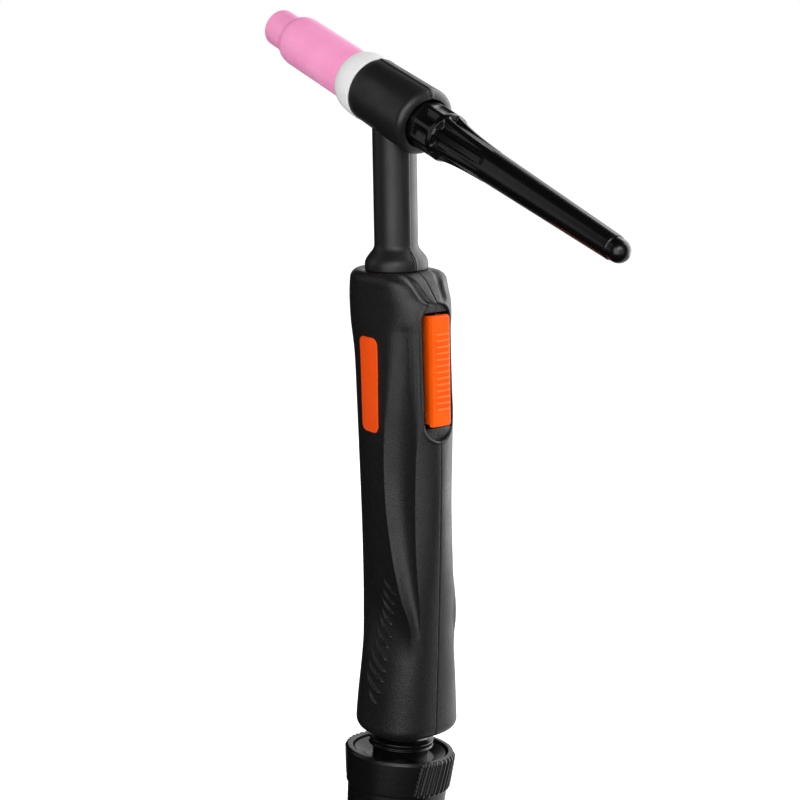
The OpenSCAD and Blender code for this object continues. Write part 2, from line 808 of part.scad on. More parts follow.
// Neck insulation: a spigot in the head, the round neck, the flare and a spigot in the handle
module neck_sleeve() {
    wall_z = handle_top - shell_wall - face_gap;
    collar_t = 2;
    flare_rim = 0.8;
    flare_swell = 0.45;
    color("#2c2c2e")
        difference() {
            union() {
                difference() {
                    rod(neck_r, flare_z, head_z);
                    on_head_axis()
                        rod(sleeve_cut_r + face_gap, 2 * head_front_t, 2 * head_rear_len);
                }
                difference() {
                    rod(neck_spigot_r, flare_z, head_z);
                    on_head_axis()
                        rod(spigot_cut_r + face_gap, 2 * head_front_t, 2 * head_rear_len);
                }
                rotate_extrude()
                    polygon([
                        [0, flare_z],
                        [flare_r, flare_z],
                        [flare_r, flare_z + flare_rim],
                        [neck_r + flare_swell * (flare_r - neck_r), flare_z + (flare_len + flare_rim) / 2],
                        [neck_r, flare_z + flare_len],
                        [0, flare_z + flare_len]
                    ]);
                rod(neck_spigot_r, handle_top - neck_spigot_len, flare_z + past);
                rod(neck_spigot_r + collar_t, wall_z - collar_t, wall_z);
            }
            rod(tube_r + seat_gap, 0, head_z);
        }
}

// ---- Handle ----

// An obround prism along X: half-width in Y, ends rounded, between two heights
module obround(half_w, low_z, high_z, low_x, high_x) {
    block([low_x, -half_w, low_z + half_w], [high_x, half_w, high_z - half_w]);
    for (z = [low_z + half_w, high_z - half_w])
        translate([low_x, 0, z])
            rotate([0, 90, 0])
                cylinder(r = half_w, h = high_x - low_x);
}

// A rounded rectangle along Y over the badge's place, grown by a gap
module badge_prism(grow) {
    w = badge_w / 2 + grow;
    h = badge_h / 2 + grow;
    translate([0, 0, badge_z])
        rotate([90, 0, 0])
            linear_extrude(2 * half_w_foot)
                union() {
                    square([2 * (w - badge_corner), 2 * h], center = true);
                    square([2 * w, 2 * (h - badge_corner)], center = true);
                    for (x = [-1, 1], z = [-1, 1])
                        translate([x * (w - badge_corner), z * (h - badge_corner)])
                            circle(r = badge_corner, $fn = fine);
                }
}

// What stands inside the shells: recess walls, screw bosses, peg bosses and the swivel's seat
module shell_inside(side) {
    wall_w = recess_half_w + recess_wall;
    obround(wall_w, recess_low_z - recess_wall, recess_high_z + recess_wall,
        floor_x - recess_wall, 2 * front_trigger);
    for (p = screw_places)
        rod_y(boss_r, p[0], p[1], -half_w_foot, half_w_foot);
    if (side > 0)
        for (p = screw_places)
            rod_y(head_boss_r, p[0], p[1], head_seat_y - 2, half_w_foot);
    for (y = [-1, 1])
        rod_y(peg_r + recess_wall, peg_x, stem_z, min(y * carrier_half_w, y * half_w_foot),
            max(y * carrier_half_w, y * half_w_foot));
    block([-2 * back_heel, -half_w_foot, -handle_bottom],
        [2 * front_trigger, half_w_foot, ball_z + liner_top + recess_wall]);
}

// What is cut from both shells
module shell_cuts() {
    slot_w = stem_w / 2 + swing_gap;
    obround(recess_half_w, recess_low_z, recess_high_z, floor_x, 2 * front_trigger);
    block([floor_x - recess_wall - past, -slot_w, stem_z - stem_t / 2 - 2 * swing_gap],
        [floor_x + eps, slot_w, stem_z + stem_t / 2 + swing_gap]);
    block([floor_x - recess_wall - past, -slot_w, hook_z - stem_t / 2 - 2 * swing_gap],
        [floor_x + eps, slot_w, hook_z + stem_t / 2 + swing_gap]);
    rod_y(pin_r + seat_gap, pin_x, pin_z, -pin_half_len - face_gap, pin_half_len + face_gap);
    for (p = screw_places) {
        rod_y(screw_r + seat_gap, p[0], p[1], -screw_end_y - face_gap, head_seat_y + past);
        rod_y(screw_head_r + swing_gap, p[0], p[1], head_seat_y - face_gap, 2 * half_w_foot);
    }
    for (y = [-1, 1])
        rod_y(peg_r + seat_gap, peg_x, stem_z, min(0, y * peg_end_y), max(0, y * peg_end_y));
    rod(liner_r + seat_gap, ball_z + liner_bottom, ball_z + liner_top);
    rod(foot_lip_r + 0.4, ball_z, ball_z + liner_top + recess_wall + past);
    translate([0, 0, -handle_bottom - eps])
        cylinder(r1 = foot_mouth_r, r2 = foot_lip_r, h = handle_bottom + ball_z + liner_bottom + 2 * eps);
    rod(neck_spigot_r + seat_gap, handle_top - shell_wall - past, handle_top + past);
}

// One half of the handle
module handle_shell(side) {
    difference() {
        handle_half(side, 0, parting_gap / 2, outer_heights, outer_steps);
        difference() {
            handle_half(side, shell_wall, -past, inner_heights, inner_steps);
            shell_inside(side);
        }
        shell_cuts();
        if (side < 0)
            difference() {
                badge_prism(face_gap);
                badge_layer(badge_t);
            }
    }
}

// The left side of the handle round the badge, drawn in by inset
module badge_layer(inset) {
    reach = badge_h / 2 + 2 * badge_corner;
    slices = 12;
    steps = 16;
    handle_half(-1, inset, half_w_waist / 2, even_heights(badge_z - reach, badge_z + reach, slices), steps);
}

module handle_shell_left() {
    color("#3a3a3d")
        handle_shell(-1);
}

module handle_shell_right() {
    color("#4a4a4e")
        handle_shell(1);
}

// Bare plate set in the left shell
module side_badge() {
    color("#ff6a13")
        difference() {
            intersection() {
                badge_prism(0);
                badge_layer(-badge_proud);
            }
            badge_layer(badge_t - face_gap);
        }
}

// Three screws that enter from the right shell
module handle_screws() {
    cross_w = 0.7;
    cross_depth = 1;
    color("silver")
        for (p = screw_places)
            difference() {
                union() {
                    rod_y(screw_r, p[0], p[1], -screw_end_y, head_seat_y + eps);
                    rod_y(screw_head_r, p[0], p[1], head_seat_y, head_seat_y + screw_head_h);
                }
                for (turn = [0, 90])
                    translate([p[0], head_seat_y + screw_head_h, p[1]])
                        rotate([0, turn, 0])
                            block([-screw_r, -cross_depth, -cross_w / 2], [screw_r, past, cross_w / 2]);
            }
}

// ---- Trigger and switch ----

// Ribbed lever; it hinges at its lower end and pushes the plunger through the recess floor
module trigger() {
    half_w = trigger_w / 2;
    side_round = 1.1;
    end_round = 1.2;
    first_rib_z = (trigger_z + trigger_top_z - (trigger_ribs - 1) * trigger_rib_pitch) / 2;
    color("#ff6a13")
        difference() {
            union() {
                intersection() {
                    rotate([90, 0, 0])
                        linear_extrude(trigger_w, center = true)
                            polygon(concat(
                                [[trigger_back_x, trigger_z], [trigger_back_x, trigger_top_z]],
                                arc([trigger_face_x - end_round, trigger_top_z - end_round],
                                    end_round, 90, 0),
                                arc([trigger_face_x - end_round, trigger_z + end_round], end_round, 0, -90)
                            ));
                    translate([0, 0, trigger_z])
                        linear_extrude(trigger_len)
                            polygon(concat(
                                [[trigger_back_x, half_w], [trigger_back_x, -half_w]],
                                arc([trigger_face_x - side_round, side_round - half_w], side_round, -90, 0),
                                arc([trigger_face_x - side_round, half_w - side_round], side_round, 0, 90)
                            ));
                }
                for (i = [0 : trigger_ribs - 1])
                    rod_y(trigger_rib_h, trigger_face_x - 0.1, first_rib_z + i * trigger_rib_pitch,
                        side_round / 2 - half_w, half_w - side_round / 2);
                block([pin_x, -ear_w / 2, pin_z - ear_r], [trigger_back_x + eps, ear_w / 2, pin_z + ear_r]);
                rod_y(ear_r, pin_x, pin_z, -ear_w / 2, ear_w / 2);
                block([plunger_tip_x + face_gap, -stem_w / 2, stem_z - stem_t / 2],
                    [trigger_back_x + eps, stem_w / 2, stem_z + stem_t / 2]);
                block([hook_back_x, -stem_w / 2, hook_z - stem_t / 2],
                    [trigger_back_x + eps, stem_w / 2, hook_z + stem_t / 2]);
                block([hook_back_x, -stem_w / 2, hook_z],
                    [hook_back_x + hook_t, stem_w / 2, hook_z + stem_t / 2 + hook_reach]);
            }
            rod_y(pin_r + turn_gap, pin_x, pin_z, -trigger_w, trigger_w);
        }
}

module trigger_pin() {
    color("silver")
        rod_y(pin_r, pin_x, pin_z, -pin_half_len, pin_half_len);
}

// Return spring: one unbroken tube wound round X
module trigger_spring() {
    ring = 6;
    per_turn = 12;
    low_x = floor_x + face_gap + spring_wire / 2;
    high_x = trigger_back_x - face_gap - spring_wire / 2;
    steps = spring_turns * per_turn;
    pitch = (high_x - low_x) / spring_turns;
    echo(least_spring_gap = pitch - spring_wire);
    points = [for (i = [0 : steps], k = [0 : ring - 1])
        let (
            turn = 360 * i / per_turn,
            a = 360 * k / ring,
            r = spring_r + spring_wire / 2 * cos(a)
        )
            [low_x + (high_x - low_x) * i / steps + spring_wire / 2 * sin(a),
                r * cos(turn), spring_z + r * sin(turn)]];
    sides = [for (i = [0 : steps - 1], k = [0 : ring - 1])
        let (a = i * ring + k, b = i * ring + (k + 1) % ring)
            each [[a, b, b + ring], [a, b + ring, a + ring]]];
    ends = [[for (k = [ring - 1 : -1 : 0]) k], [for (k = [0 : ring - 1]) steps * ring + k]];
    color("silver")
        polyhedron(points = points, faces = concat(sides, ends));
}

// Microswitch with a slot for its plunger
module switch_body() {
    w = plunger_w / 2 + turn_gap;
    color("#1f1f22")
        difference() {
            block([switch_back_x, -switch_w / 2, stem_z - switch_len / 2],
                [switch_front_x, switch_w / 2, stem_z + switch_len / 2]);
            block([switch_front_x - plunger_seat, -w, stem_z - w], [switch_front_x + past, w, stem_z + w]);
            for (y = [-1, 1])
                translate([switch_back_x + switch_depth / 2, y * terminal_y, stem_z - switch_len / 2])
                    cube([terminal_w + 2 * seat_gap, terminal_t + 2 * seat_gap, 2 * terminal_seat],
                        center = true);
        }
}

module switch_plunger() {
    color("#c23b2e")
        block([plunger_tip_x - plunger_out - plunger_seat / 2, -plunger_w / 2, stem_z - plunger_w / 2],
            [plunger_tip_x, plunger_w / 2, stem_z + plunger_w / 2]);
}

module switch_terminals() {
    foot_z = stem_z - switch_len / 2;
    color("#d9b24c")
        for (y = [-1, 1])
            translate([switch_back_x + switch_depth / 2, y * terminal_y, foot_z + terminal_seat - face_gap
                - terminal_len / 2])
                cube([terminal_w, terminal_t, terminal_len], center = true);
}

// Cradle that holds the microswitch on two pegs
module switch_carrier() {
    inside_w = switch_w / 2 + seat_gap;
    low_z = stem_z - switch_len / 2;
    high_z = stem_z + switch_len / 2;
    color("#55565a")
        difference() {
            union() {
                block([switch_back_x - carrier_wall, -carrier_half_w + swing_gap, low_z - carrier_wall],
                    [switch_front_x - carrier_wall, carrier_half_w - swing_gap, high_z + carrier_wall]);
                for (y = [-1, 1])
                    rod_y(peg_r, peg_x, stem_z, min(y * inside_w, y * (peg_end_y - face_gap)),
                        max(y * inside_w, y * (peg_end_y - face_gap)));
            }
            block([switch_back_x - seat_gap, -inside_w, low_z - seat_gap],
                [2 * switch_front_x, inside_w, high_z + seat_gap]);
            block([switch_back_x + carrier_wall, -inside_w + carrier_wall, low_z - 2 * carrier_wall],
                [2 * switch_front_x, inside_w - carrier_wall, low_z]);
        }
}

// ---- Power fitting ----

// Brass nut and barbed hose spigot on the foot of the neck tube
module power_adapter() {
    barb_len = 4;
    barb_h = 0.6;
    first_barb = 0.5;
    color("#b5923c")
        difference() {
            union() {
                translate([0, 0, nut_z])
                    cylinder(r = nut_corner_r, h = nut_len, $fn = 6);
                rod(adapter_neck_r, nut_top_z - eps, nut_top_z + adapter_neck_len);
                rod(hose_spigot_r, nut_z - hose_spigot_len, nut_z + eps);
                for (i = [0 : barbs - 1])
                    translate([0, 0, nut_z - hose_spigot_len + first_barb + i * barb_len])
                        cylinder(r1 = hose_spigot_r, r2 = hose_spigot_r + barb_h, h = barb_len - past);
            }
            rod(tube_r + seat_gap, tube_foot_z - face_gap, nut_top_z + adapter_neck_len + past);
            rod(tube_r - tube_wall, nut_z - hose_spigot_len - past, nut_top_z);
        }
}

// Rubber boot that insulates the fitting
module adapter_boot() {
    inside_r = nut_corner_r + seat_gap;
    shoulder_r = adapter_neck_r + seat_gap;
    skirt = 9;
    lip_h = 3;
    roof_z = nut_top_z + adapter_neck_len + face_gap;
    color("#262628")
        rotate_extrude()
            polygon([
                [inside_r, nut_z - skirt],
                [inside_r + boot_wall, nut_z - skirt],
                [inside_r + boot_wall, nut_top_z + boot_wall],
                [shoulder_r + boot_wall, nut_top_z + 2 * boot_wall],
                [shoulder_r + boot_wall, roof_z],
                [tube_r + boot_wall, roof_z + lip_h],
                [tube_r + seat_gap, roof_z + lip_h],
                [tube_r + seat_gap, roof_z],
                [shoulder_r, roof_z],
                [shoulder_r, nut_top_z + face_gap],
                [inside_r, nut_top_z + face_gap]
            ]);
}

// ---- Cable swivel ----

// Bearing ring with a hollow spherical seat
module swivel_liner() {
    color("#8d8f94")
        translate([0, 0, ball_z])
            difference() {
                rod(liner_r, liner_bottom + face_gap, liner_top - face_gap);
                sphere(r = liner_seat_r);
            }
}

// Thin friction band between ball and liner
module swivel_band() {
    color("#2a2a2c")
        tilted_x()
            difference() {
                intersection() {
                    sphere(r = band_r);
                    rod(2 * ball_r, -band_half_h, band_half_h);
                }
                sphere(r = ball_r + turn_gap);
            }
}

// Hollow ball, neck, flange and the tube that carries the collar
module swivel_ball() {
    neck_z = -0.72 * ball_r;
    trumpet = 5;
    color("#101012")
        tilted_xy()
            difference() {
                union() {
                    difference() {
                        sphere(r = ball_r);
                        rod(2 * ball_r, 0.72 * ball_r, 2 * ball_r);
                    }
                    rod(ball_neck_r, dish_z, neck_z + past);
                    translate([0, 0, dish_z + flange_t])
                        cylinder(r1 = flange_r - 0.6, r2 = ball_neck_r, h = trumpet - flange_t);
                    rod(flange_r, dish_z, dish_z + flange_t);
                    rod(swivel_tube_r, tube_end_z, dish_z + eps);
                }
                rod(cable_bore_r, tube_end_z - past, ball_r);
                translate([0, 0, tail_z - tail_len - ring_t - 2 * face_gap])
                    difference() {
                        rod(2 * swivel_tube_r, 0, ring_t + 2 * face_gap);
                        rod(swivel_tube_r - 0.6, -past, 2 * past + ring_t);
                    }
            }
}

// Ribbed collar with a dished top
module swivel_collar() {
    rim_round = rim_w / 2;
    bulge = 0.5;
    top_z = -collar_drop;
    rib_r = 0.9;
    rib_low = 1.8;
    color("#2e2e31")
        tilted_xy()
            difference() {
                union() {
                    rotate_extrude()
                        polygon(concat(
                            [
                                [swivel_tube_r + seat_gap, dish_z - face_gap],
                                [flange_r + 1, dish_z - face_gap]
                            ],
                            arc([collar_r - rim_round, top_z - rim_round], rim_round, 180, 0, 10),
                            [
                                [collar_r - bulge, top_z - 2 * rim_w - bulge],
                                [collar_foot_r, tail_z],
                                [tail_r, tail_z - past],
                                [tail_r - 0.6, tail_z - tail_len],
                                [swivel_tube_r + seat_gap, tail_z - tail_len]
                            ]
                        ));
                    for (side = [0, 180], i = [0 : collar_ribs - 1])
                        rotate([0, 0, side + (i - (collar_ribs - 1) / 2) * collar_rib_step])
                            translate([collar_r - rib_r + collar_rib_h - bulge, 0, top_z - rim_w - rib_r])
                                rotate([0, 180 + collar_taper, 0])
                                    cylinder(r = rib_r, h = collar_len - rim_w - rib_low, $fn = fine);
                }
                rod(swivel_tube_r + seat_gap, tail_z - 2 * tail_len, dish_z + past);
            }
}

// Snap ring that keeps the collar on the ball's tube
module swivel_ring() {
    color("silver")
        tilted_xy()
            translate([0, 0, tail_z - tail_len - ring_t - face_gap])
                difference() {
                    rod(swivel_tube_r + 1.4, 0, ring_t);
                    rod(swivel_tube_r - 0.6 + seat_gap, -past, ring_t + past);
                    block([0, -1.5, -past], [2 * swivel_tube_r, 1.5, ring_t + past]);
                }
}

gas_nozzle();
cup_gasket();
collet_body();
collet();
head_core();
head_moulding();
back_cap_insert();
back_cap_oring();
back_cap();
neck_tube();
neck_sleeve();
handle_shell_left();
handle_shell_right();
side_badge();
handle_screws();
trigger();
trigger_pin();
trigger_spring();
switch_body();
switch_plunger();
switch_terminals();
switch_carrier();
power_adapter();
adapter_boot();
swivel_liner();
swivel_band();
swivel_ball();
swivel_collar();
swivel_ring();
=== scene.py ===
from functools import lru_cache
from math import atan2, cos, degrees, exp, hypot, pi, radians, sin, sqrt, tan

import bmesh
import bpy
from mathutils import Matrix, Vector


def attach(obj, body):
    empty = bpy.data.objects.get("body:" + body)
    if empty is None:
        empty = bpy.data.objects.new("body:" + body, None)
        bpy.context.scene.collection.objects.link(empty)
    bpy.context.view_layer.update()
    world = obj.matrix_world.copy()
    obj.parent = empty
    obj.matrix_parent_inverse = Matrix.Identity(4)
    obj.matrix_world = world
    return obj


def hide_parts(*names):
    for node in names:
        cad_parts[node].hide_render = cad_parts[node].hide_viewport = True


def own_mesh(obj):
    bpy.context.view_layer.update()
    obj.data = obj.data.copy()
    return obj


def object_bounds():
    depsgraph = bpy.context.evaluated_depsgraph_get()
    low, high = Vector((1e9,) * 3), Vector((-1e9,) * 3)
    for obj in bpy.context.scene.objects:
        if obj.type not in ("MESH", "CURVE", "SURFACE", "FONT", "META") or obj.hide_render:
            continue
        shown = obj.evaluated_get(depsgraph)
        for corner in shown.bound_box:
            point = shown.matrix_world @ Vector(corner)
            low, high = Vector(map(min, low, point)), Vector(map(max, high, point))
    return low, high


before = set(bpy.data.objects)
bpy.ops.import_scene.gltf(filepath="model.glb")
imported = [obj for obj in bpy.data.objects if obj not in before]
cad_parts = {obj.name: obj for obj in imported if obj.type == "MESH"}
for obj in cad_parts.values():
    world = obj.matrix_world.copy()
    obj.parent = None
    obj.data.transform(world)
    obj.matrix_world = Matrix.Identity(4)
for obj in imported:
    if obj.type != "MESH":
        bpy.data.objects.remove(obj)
cad_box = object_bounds()
scene = bpy.context.scene
scene.view_settings.view_transform = "Standard"

# ---- Studio ----
# A pale sweep of floor under the torch, and the lamps that light it: broad softboxes in front
# on the left, and white board behind on the right, which is what the gloss parts pick up.
MM = 0.001
WHITE = (1, 1, 1, 1)

camera = bpy.data.objects.new("studio_camera", bpy.data.cameras.new("studio_camera"))
scene.collection.objects.link(camera)
scene.camera = camera
camera.data.lens = 90
camera.data.sensor_width = 36
camera.data.clip_start = 0.01
camera.matrix_world = Matrix((
    (0.60453, -0.15015, 0.7823, 0.509256),
    (0.7964, 0.135, -0.58951, -0.383311),
    (-0.0171, 0.9794, 0.2012, 0.164947),
    (0, 0, 0, 1),
))


def softbox(name, azimuth, elevation, away, width, height, radiance):
    """An area lamp that looks at the middle of the torch; azimuth is turned from +X towards +Y."""
    lamp = bpy.data.lights.new(name, "AREA")
    lamp.shape = "RECTANGLE"
    lamp.size, lamp.size_y = width, height
    lamp.energy = radiance * pi * width * height
    box = bpy.data.objects.new(name, lamp)
    scene.collection.objects.link(box)
    a, e = radians(azimuth), radians(elevation)
    out = Vector((cos(e) * cos(a), cos(e) * sin(a), sin(e)))
    facing = out.to_track_quat("Z", "Y").to_matrix().to_4x4()
    box.matrix_world = Matrix.Translation(out * away) @ facing
    return box


softbox("front_softbox", -42, 6, away=1.0, width=2.1, height=1.1, radiance=0.72)
softbox("front_core", -60, 8, away=1.15, width=0.9, height=1.0, radiance=1.75)
softbox("front_key", -32, 31, away=1.2, width=0.8, height=0.5, radiance=3.1)
softbox("left_card", -137, 26, away=1.2, width=0.6, height=1.2, radiance=0.5)
softbox("right_board", 78, 20, away=0.6, width=0.7, height=1.0, radiance=2.8)
fill = softbox("overhead_fill", -10, 68, away=1.6, width=0.8, height=0.8, radiance=1.3)
fill.visible_glossy = False


def placed(nodes, kind, **sockets):
    """A shader node with its sockets set; the spaces of a socket's name are written as underscores."""
    node = nodes.new("ShaderNode" + kind)
    for socket, value in sockets.items():
        node.inputs[socket.replace("_", " ")].default_value = value
    return node


def seen_directly(nodes, links):
    """One for what the camera sees, by itself or through glass."""
    path = placed(nodes, "LightPath")
    seen = placed(nodes, "Math")
    seen.operation = "MAXIMUM"
    links.new(path.outputs["Is Camera Ray"], seen.inputs[0])
    links.new(path.outputs["Is Transmission Ray"], seen.inputs[1])
    return path, seen.outputs[0]


def studio_sweep():
    """White to the camera; gloss parts see white board behind on the right and a dark room in front."""
    board_way = Vector((-0.122, 0.993, -0.14)).normalized()
    board_edge, board_full, room = 0.44, 0.62, (0.004, 0.004, 0.004, 1)
    world = bpy.data.worlds.new("studio")
    scene.world = world
    world.use_nodes = True
    nodes, links = world.node_tree.nodes, world.node_tree.links
    nodes.clear()
    place = placed(nodes, "TexCoord")
    board = placed(nodes, "VectorMath")
    board.operation = "DOT_PRODUCT"
    board.inputs[1].default_value = board_way
    ramp = placed(nodes, "ValToRGB")
    ramp.color_ramp.elements[0].position = board_edge
    ramp.color_ramp.elements[0].color = room
    ramp.color_ramp.elements[1].position = board_full
    ramp.color_ramp.elements[1].color = WHITE
    mirrored = placed(nodes, "Background")
    ambient = placed(nodes, "Background", Color=WHITE, Strength=0.22)
    backdrop = placed(nodes, "Background", Color=WHITE, Strength=1.0)
    glossy, shown = placed(nodes, "MixShader"), placed(nodes, "MixShader")
    out = placed(nodes, "OutputWorld")
    path, seen = seen_directly(nodes, links)
    links.new(place.outputs["Generated"], board.inputs[0])
    links.new(board.outputs["Value"], ramp.inputs["Fac"])
    links.new(ramp.outputs["Color"], mirrored.inputs["Color"])
    links.new(path.outputs["Is Glossy Ray"], glossy.inputs["Fac"])
    links.new(ambient.outputs[0], glossy.inputs[1])
    links.new(mirrored.outputs[0], glossy.inputs[2])
    links.new(seen, shown.inputs["Fac"])
    links.new(glossy.outputs[0], shown.inputs[1])
    links.new(backdrop.outputs[0], shown.inputs[2])
    links.new(shown.outputs[0], out.inputs["Surface"])


def studio_floor(height, reach=9):
    """White paper under the torch; it glows to the camera alone, so that it meets the backdrop."""
    bm = bmesh.new()
    bmesh.ops.create_circle(bm, cap_ends=True, segments=96, radius=reach)
    bmesh.ops.translate(bm, verts=bm.verts, vec=(0, 0, height))
    mesh = bpy.data.meshes.new("studio_floor")
    bm.to_mesh(mesh)
    bm.free()
    floor = bpy.data.objects.new("studio_floor", mesh)
    scene.collection.objects.link(floor)
    floor.visible_glossy = False
    floor.visible_shadow = False
    paper = bpy.data.materials.new("white_paper")
    paper.use_nodes = True
    nodes, links = paper.node_tree.nodes, paper.node_tree.links
    nodes.clear()
    lit = placed(nodes, "BsdfDiffuse", Color=(0.8, 0.8, 0.8, 1))
    glow = placed(nodes, "Emission", Color=WHITE, Strength=0.98)
    unlit = placed(nodes, "Emission", Strength=0.0)
    pick, both = placed(nodes, "MixShader"), placed(nodes, "AddShader")
    out = placed(nodes, "OutputMaterial")
    _, seen = seen_directly(nodes, links)
    links.new(seen, pick.inputs["Fac"])
    links.new(unlit.outputs[0], pick.inputs[1])
    links.new(glow.outputs[0], pick.inputs[2])
    links.new(lit.outputs[0], both.inputs[0])
    links.new(pick.outputs[0], both.inputs[1])
    links.new(both.outputs[0], out.inputs["Surface"])
    mesh.materials.append(paper)


studio_sweep()
studio_floor(cad_box[0][2])

# ---- Collet body, collet and head core ----
# Turned copper and brass inside the head: the collet body screws into the core, and the slit
# collet in it grips the electrode. All are machined from bar, so fine turning rings run round them.
HEAD_AXIS = Matrix.Translation((0, 0, 0.130)) @ Matrix.Rotation(radians(110), 4, "Y")
UPRIGHT = Matrix.Identity(4)


def turned_rings():
    """Rings round the local Z axis: Tone for colour and roughness, Height for the tool marks."""
    group = bpy.data.node_groups.new("Turned rings", "ShaderNodeTree")
    group.interface.new_socket(name="Place", in_out="INPUT", socket_type="NodeSocketVector")
    group.interface.new_socket(name="Tone", in_out="OUTPUT", socket_type="NodeSocketFloat")
    group.interface.new_socket(name="Height", in_out="OUTPUT", socket_type="NodeSocketFloat")
    nodes, links = group.nodes, group.links
    given, made = nodes.new("NodeGroupInput"), nodes.new("NodeGroupOutput")
    along = placed(nodes, "Mapping", Scale=(60, 60, 9000))
    tool = placed(nodes, "TexNoise", Scale=1.0, Detail=3.0)
    stain = placed(nodes, "TexNoise", Scale=260, Detail=5.0)
    blend = placed(nodes, "Math")
    blend.operation = "MULTIPLY"
    links.new(given.outputs["Place"], along.inputs["Vector"])
    links.new(along.outputs[0], tool.inputs["Vector"])
    links.new(given.outputs["Place"], stain.inputs["Vector"])
    links.new(tool.outputs["Fac"], blend.inputs[0])
    links.new(stain.outputs["Fac"], blend.inputs[1])
    links.new(blend.outputs[0], made.inputs["Tone"])
    links.new(tool.outputs["Fac"], made.inputs["Height"])
    return group


RINGS = turned_rings()


def two_tone(nodes, a, b):
    """A mix between two colours by its Factor."""
    mix = placed(nodes, "Mix")
    mix.data_type = "RGBA"
    mix.inputs["A"].default_value = (*a, 1)
    mix.inputs["B"].default_value = (*b, 1)
    return mix


def machined(name, dull, bright, roughness, axis=UPRIGHT):
    """Bare metal turned round the given axis."""
    metal = bpy.data.materials.new(name)
    metal.use_nodes = True
    nodes, links = metal.node_tree.nodes, metal.node_tree.links
    shader = nodes["Principled BSDF"]
    shader.inputs["Metallic"].default_value = 1.0
    back = axis.inverted()
    place = placed(nodes, "TexCoord")
    turn = placed(nodes, "Mapping", Location=back.to_translation(), Rotation=back.to_euler())
    rings = placed(nodes, "Group")
    rings.node_tree = RINGS
    tone = two_tone(nodes, dull, bright)
    spread = placed(nodes, "MapRange", From_Min=0.1, From_Max=0.5,
                    To_Min=roughness + 0.12, To_Max=roughness)
    bump = placed(nodes, "Bump", Strength=0.35, Distance=0.02 * MM)
    links.new(place.outputs["Object"], turn.inputs["Vector"])
    links.new(turn.outputs[0], rings.inputs["Place"])
    links.new(rings.outputs["Tone"], spread.inputs["Value"])
    links.new(rings.outputs["Tone"], tone.inputs["Factor"])
    links.new(tone.outputs["Result"], shader.inputs["Base Color"])
    links.new(spread.outputs["Result"], shader.inputs["Roughness"])
    links.new(rings.outputs["Height"], bump.inputs["Height"])
    links.new(bump.outputs[0], shader.inputs["Normal"])
    return metal


def dress(node, material):
    """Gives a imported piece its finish."""
    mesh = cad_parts[node].data
    mesh.materials.clear()
    mesh.materials.append(material)


copper = machined("drawn_copper", (0.38, 0.14, 0.06), (0.78, 0.4, 0.22), 0.26, HEAD_AXIS)
dress("collet_body", copper)
dress("collet", copper)
dress("head_core", machined("core_brass", (0.42, 0.27, 0.08), (0.76, 0.58, 0.26), 0.3, HEAD_AXIS))

# ---- Head moulding ----
# Black phenolic moulded over the core, with a rounded socket for the back cap and a stub that
# covers the top of the neck. The mould's two halves leave one raised seam along its top.
TORCH = "torch"
ON_AXIS, WELD = 0.0001, 0.0002
SLIVER = 0.001 * MM
CORE_R, TUBE_R, NECK_R = 6.63, 4.03, 7.05


def rounded(corners, steps=6):
    """Outline of (radius, height, rounding) corners in mm, with each corner turned to an arc."""
    points = []
    for i, (r, h, rounding) in enumerate(corners):
        here = Vector((r, h))
        if not rounding:
            points.append(here)
            continue
        back = (Vector(corners[i - 1][:2]) - here).normalized()
        on = (Vector(corners[(i + 1) % len(corners)][:2]) - here).normalized()
        half = back.angle(on) / 2
        centre = here + (back + on).normalized() * (rounding / sin(half))
        reach = rounding / tan(half)
        start = (here + back * reach - centre).normalized()
        end = (here + on * reach - centre).normalized()
        points += [centre + start.slerp(end, k / steps) * rounding for k in range(steps + 1)]
    return points


def turned(bm, outline, steps=96, closed=True):
    """Spins an outline (mm) round Z into a solid; points on the axis are closed to a pole."""
    verts = [bm.verts.new((p[0], 0, p[1])) for p in outline]
    pairs = list(zip(verts, verts[1:] + verts[:1])) if closed else list(zip(verts, verts[1:]))
    edges = [bm.edges.new((a, b)) for a, b in pairs if max(a.co.x, b.co.x) > ON_AXIS]
    bmesh.ops.spin(bm, geom=verts + edges, cent=(0, 0, 0), axis=(0, 0, 1), dvec=(0, 0, 0), angle=2 * pi,
                   steps=steps, use_merge=True, use_normal_flip=False, use_duplicate=False)
    bmesh.ops.remove_doubles(bm, verts=bm.verts, dist=WELD)
    bmesh.ops.recalc_face_normals(bm, faces=bm.faces)


def stock(bm, axis=UPRIGHT):
    """The bmesh in mm as a loose object in metres, placed on an axis."""
    bmesh.ops.scale(bm, vec=(MM, MM, MM), verts=bm.verts)
    bmesh.ops.transform(bm, matrix=axis, verts=bm.verts)
    bmesh.ops.recalc_face_normals(bm, faces=bm.faces)
    mesh = bpy.data.meshes.new("stock")
    bm.to_mesh(mesh)
    bm.free()
    blank = bpy.data.objects.new("stock", mesh)
    scene.collection.objects.link(blank)
    return blank


def cut(blank, tools, operation="DIFFERENCE"):
    """Cuts loose solids from a blank, or joins them to it, and removes them."""
    for tool in tools:
        step = blank.modifiers.new("cut", "BOOLEAN")
        step.object = tool
        step.operation = operation
        step.solver = "MANIFOLD"
        graph = bpy.context.evaluated_depsgraph_get()
        shaped = bpy.data.meshes.new_from_object(blank.evaluated_get(graph))
        blank.modifiers.clear()
        old, blank.data = blank.data, shaped
        bpy.data.meshes.remove(old)
        bpy.data.objects.remove(tool)
    return blank


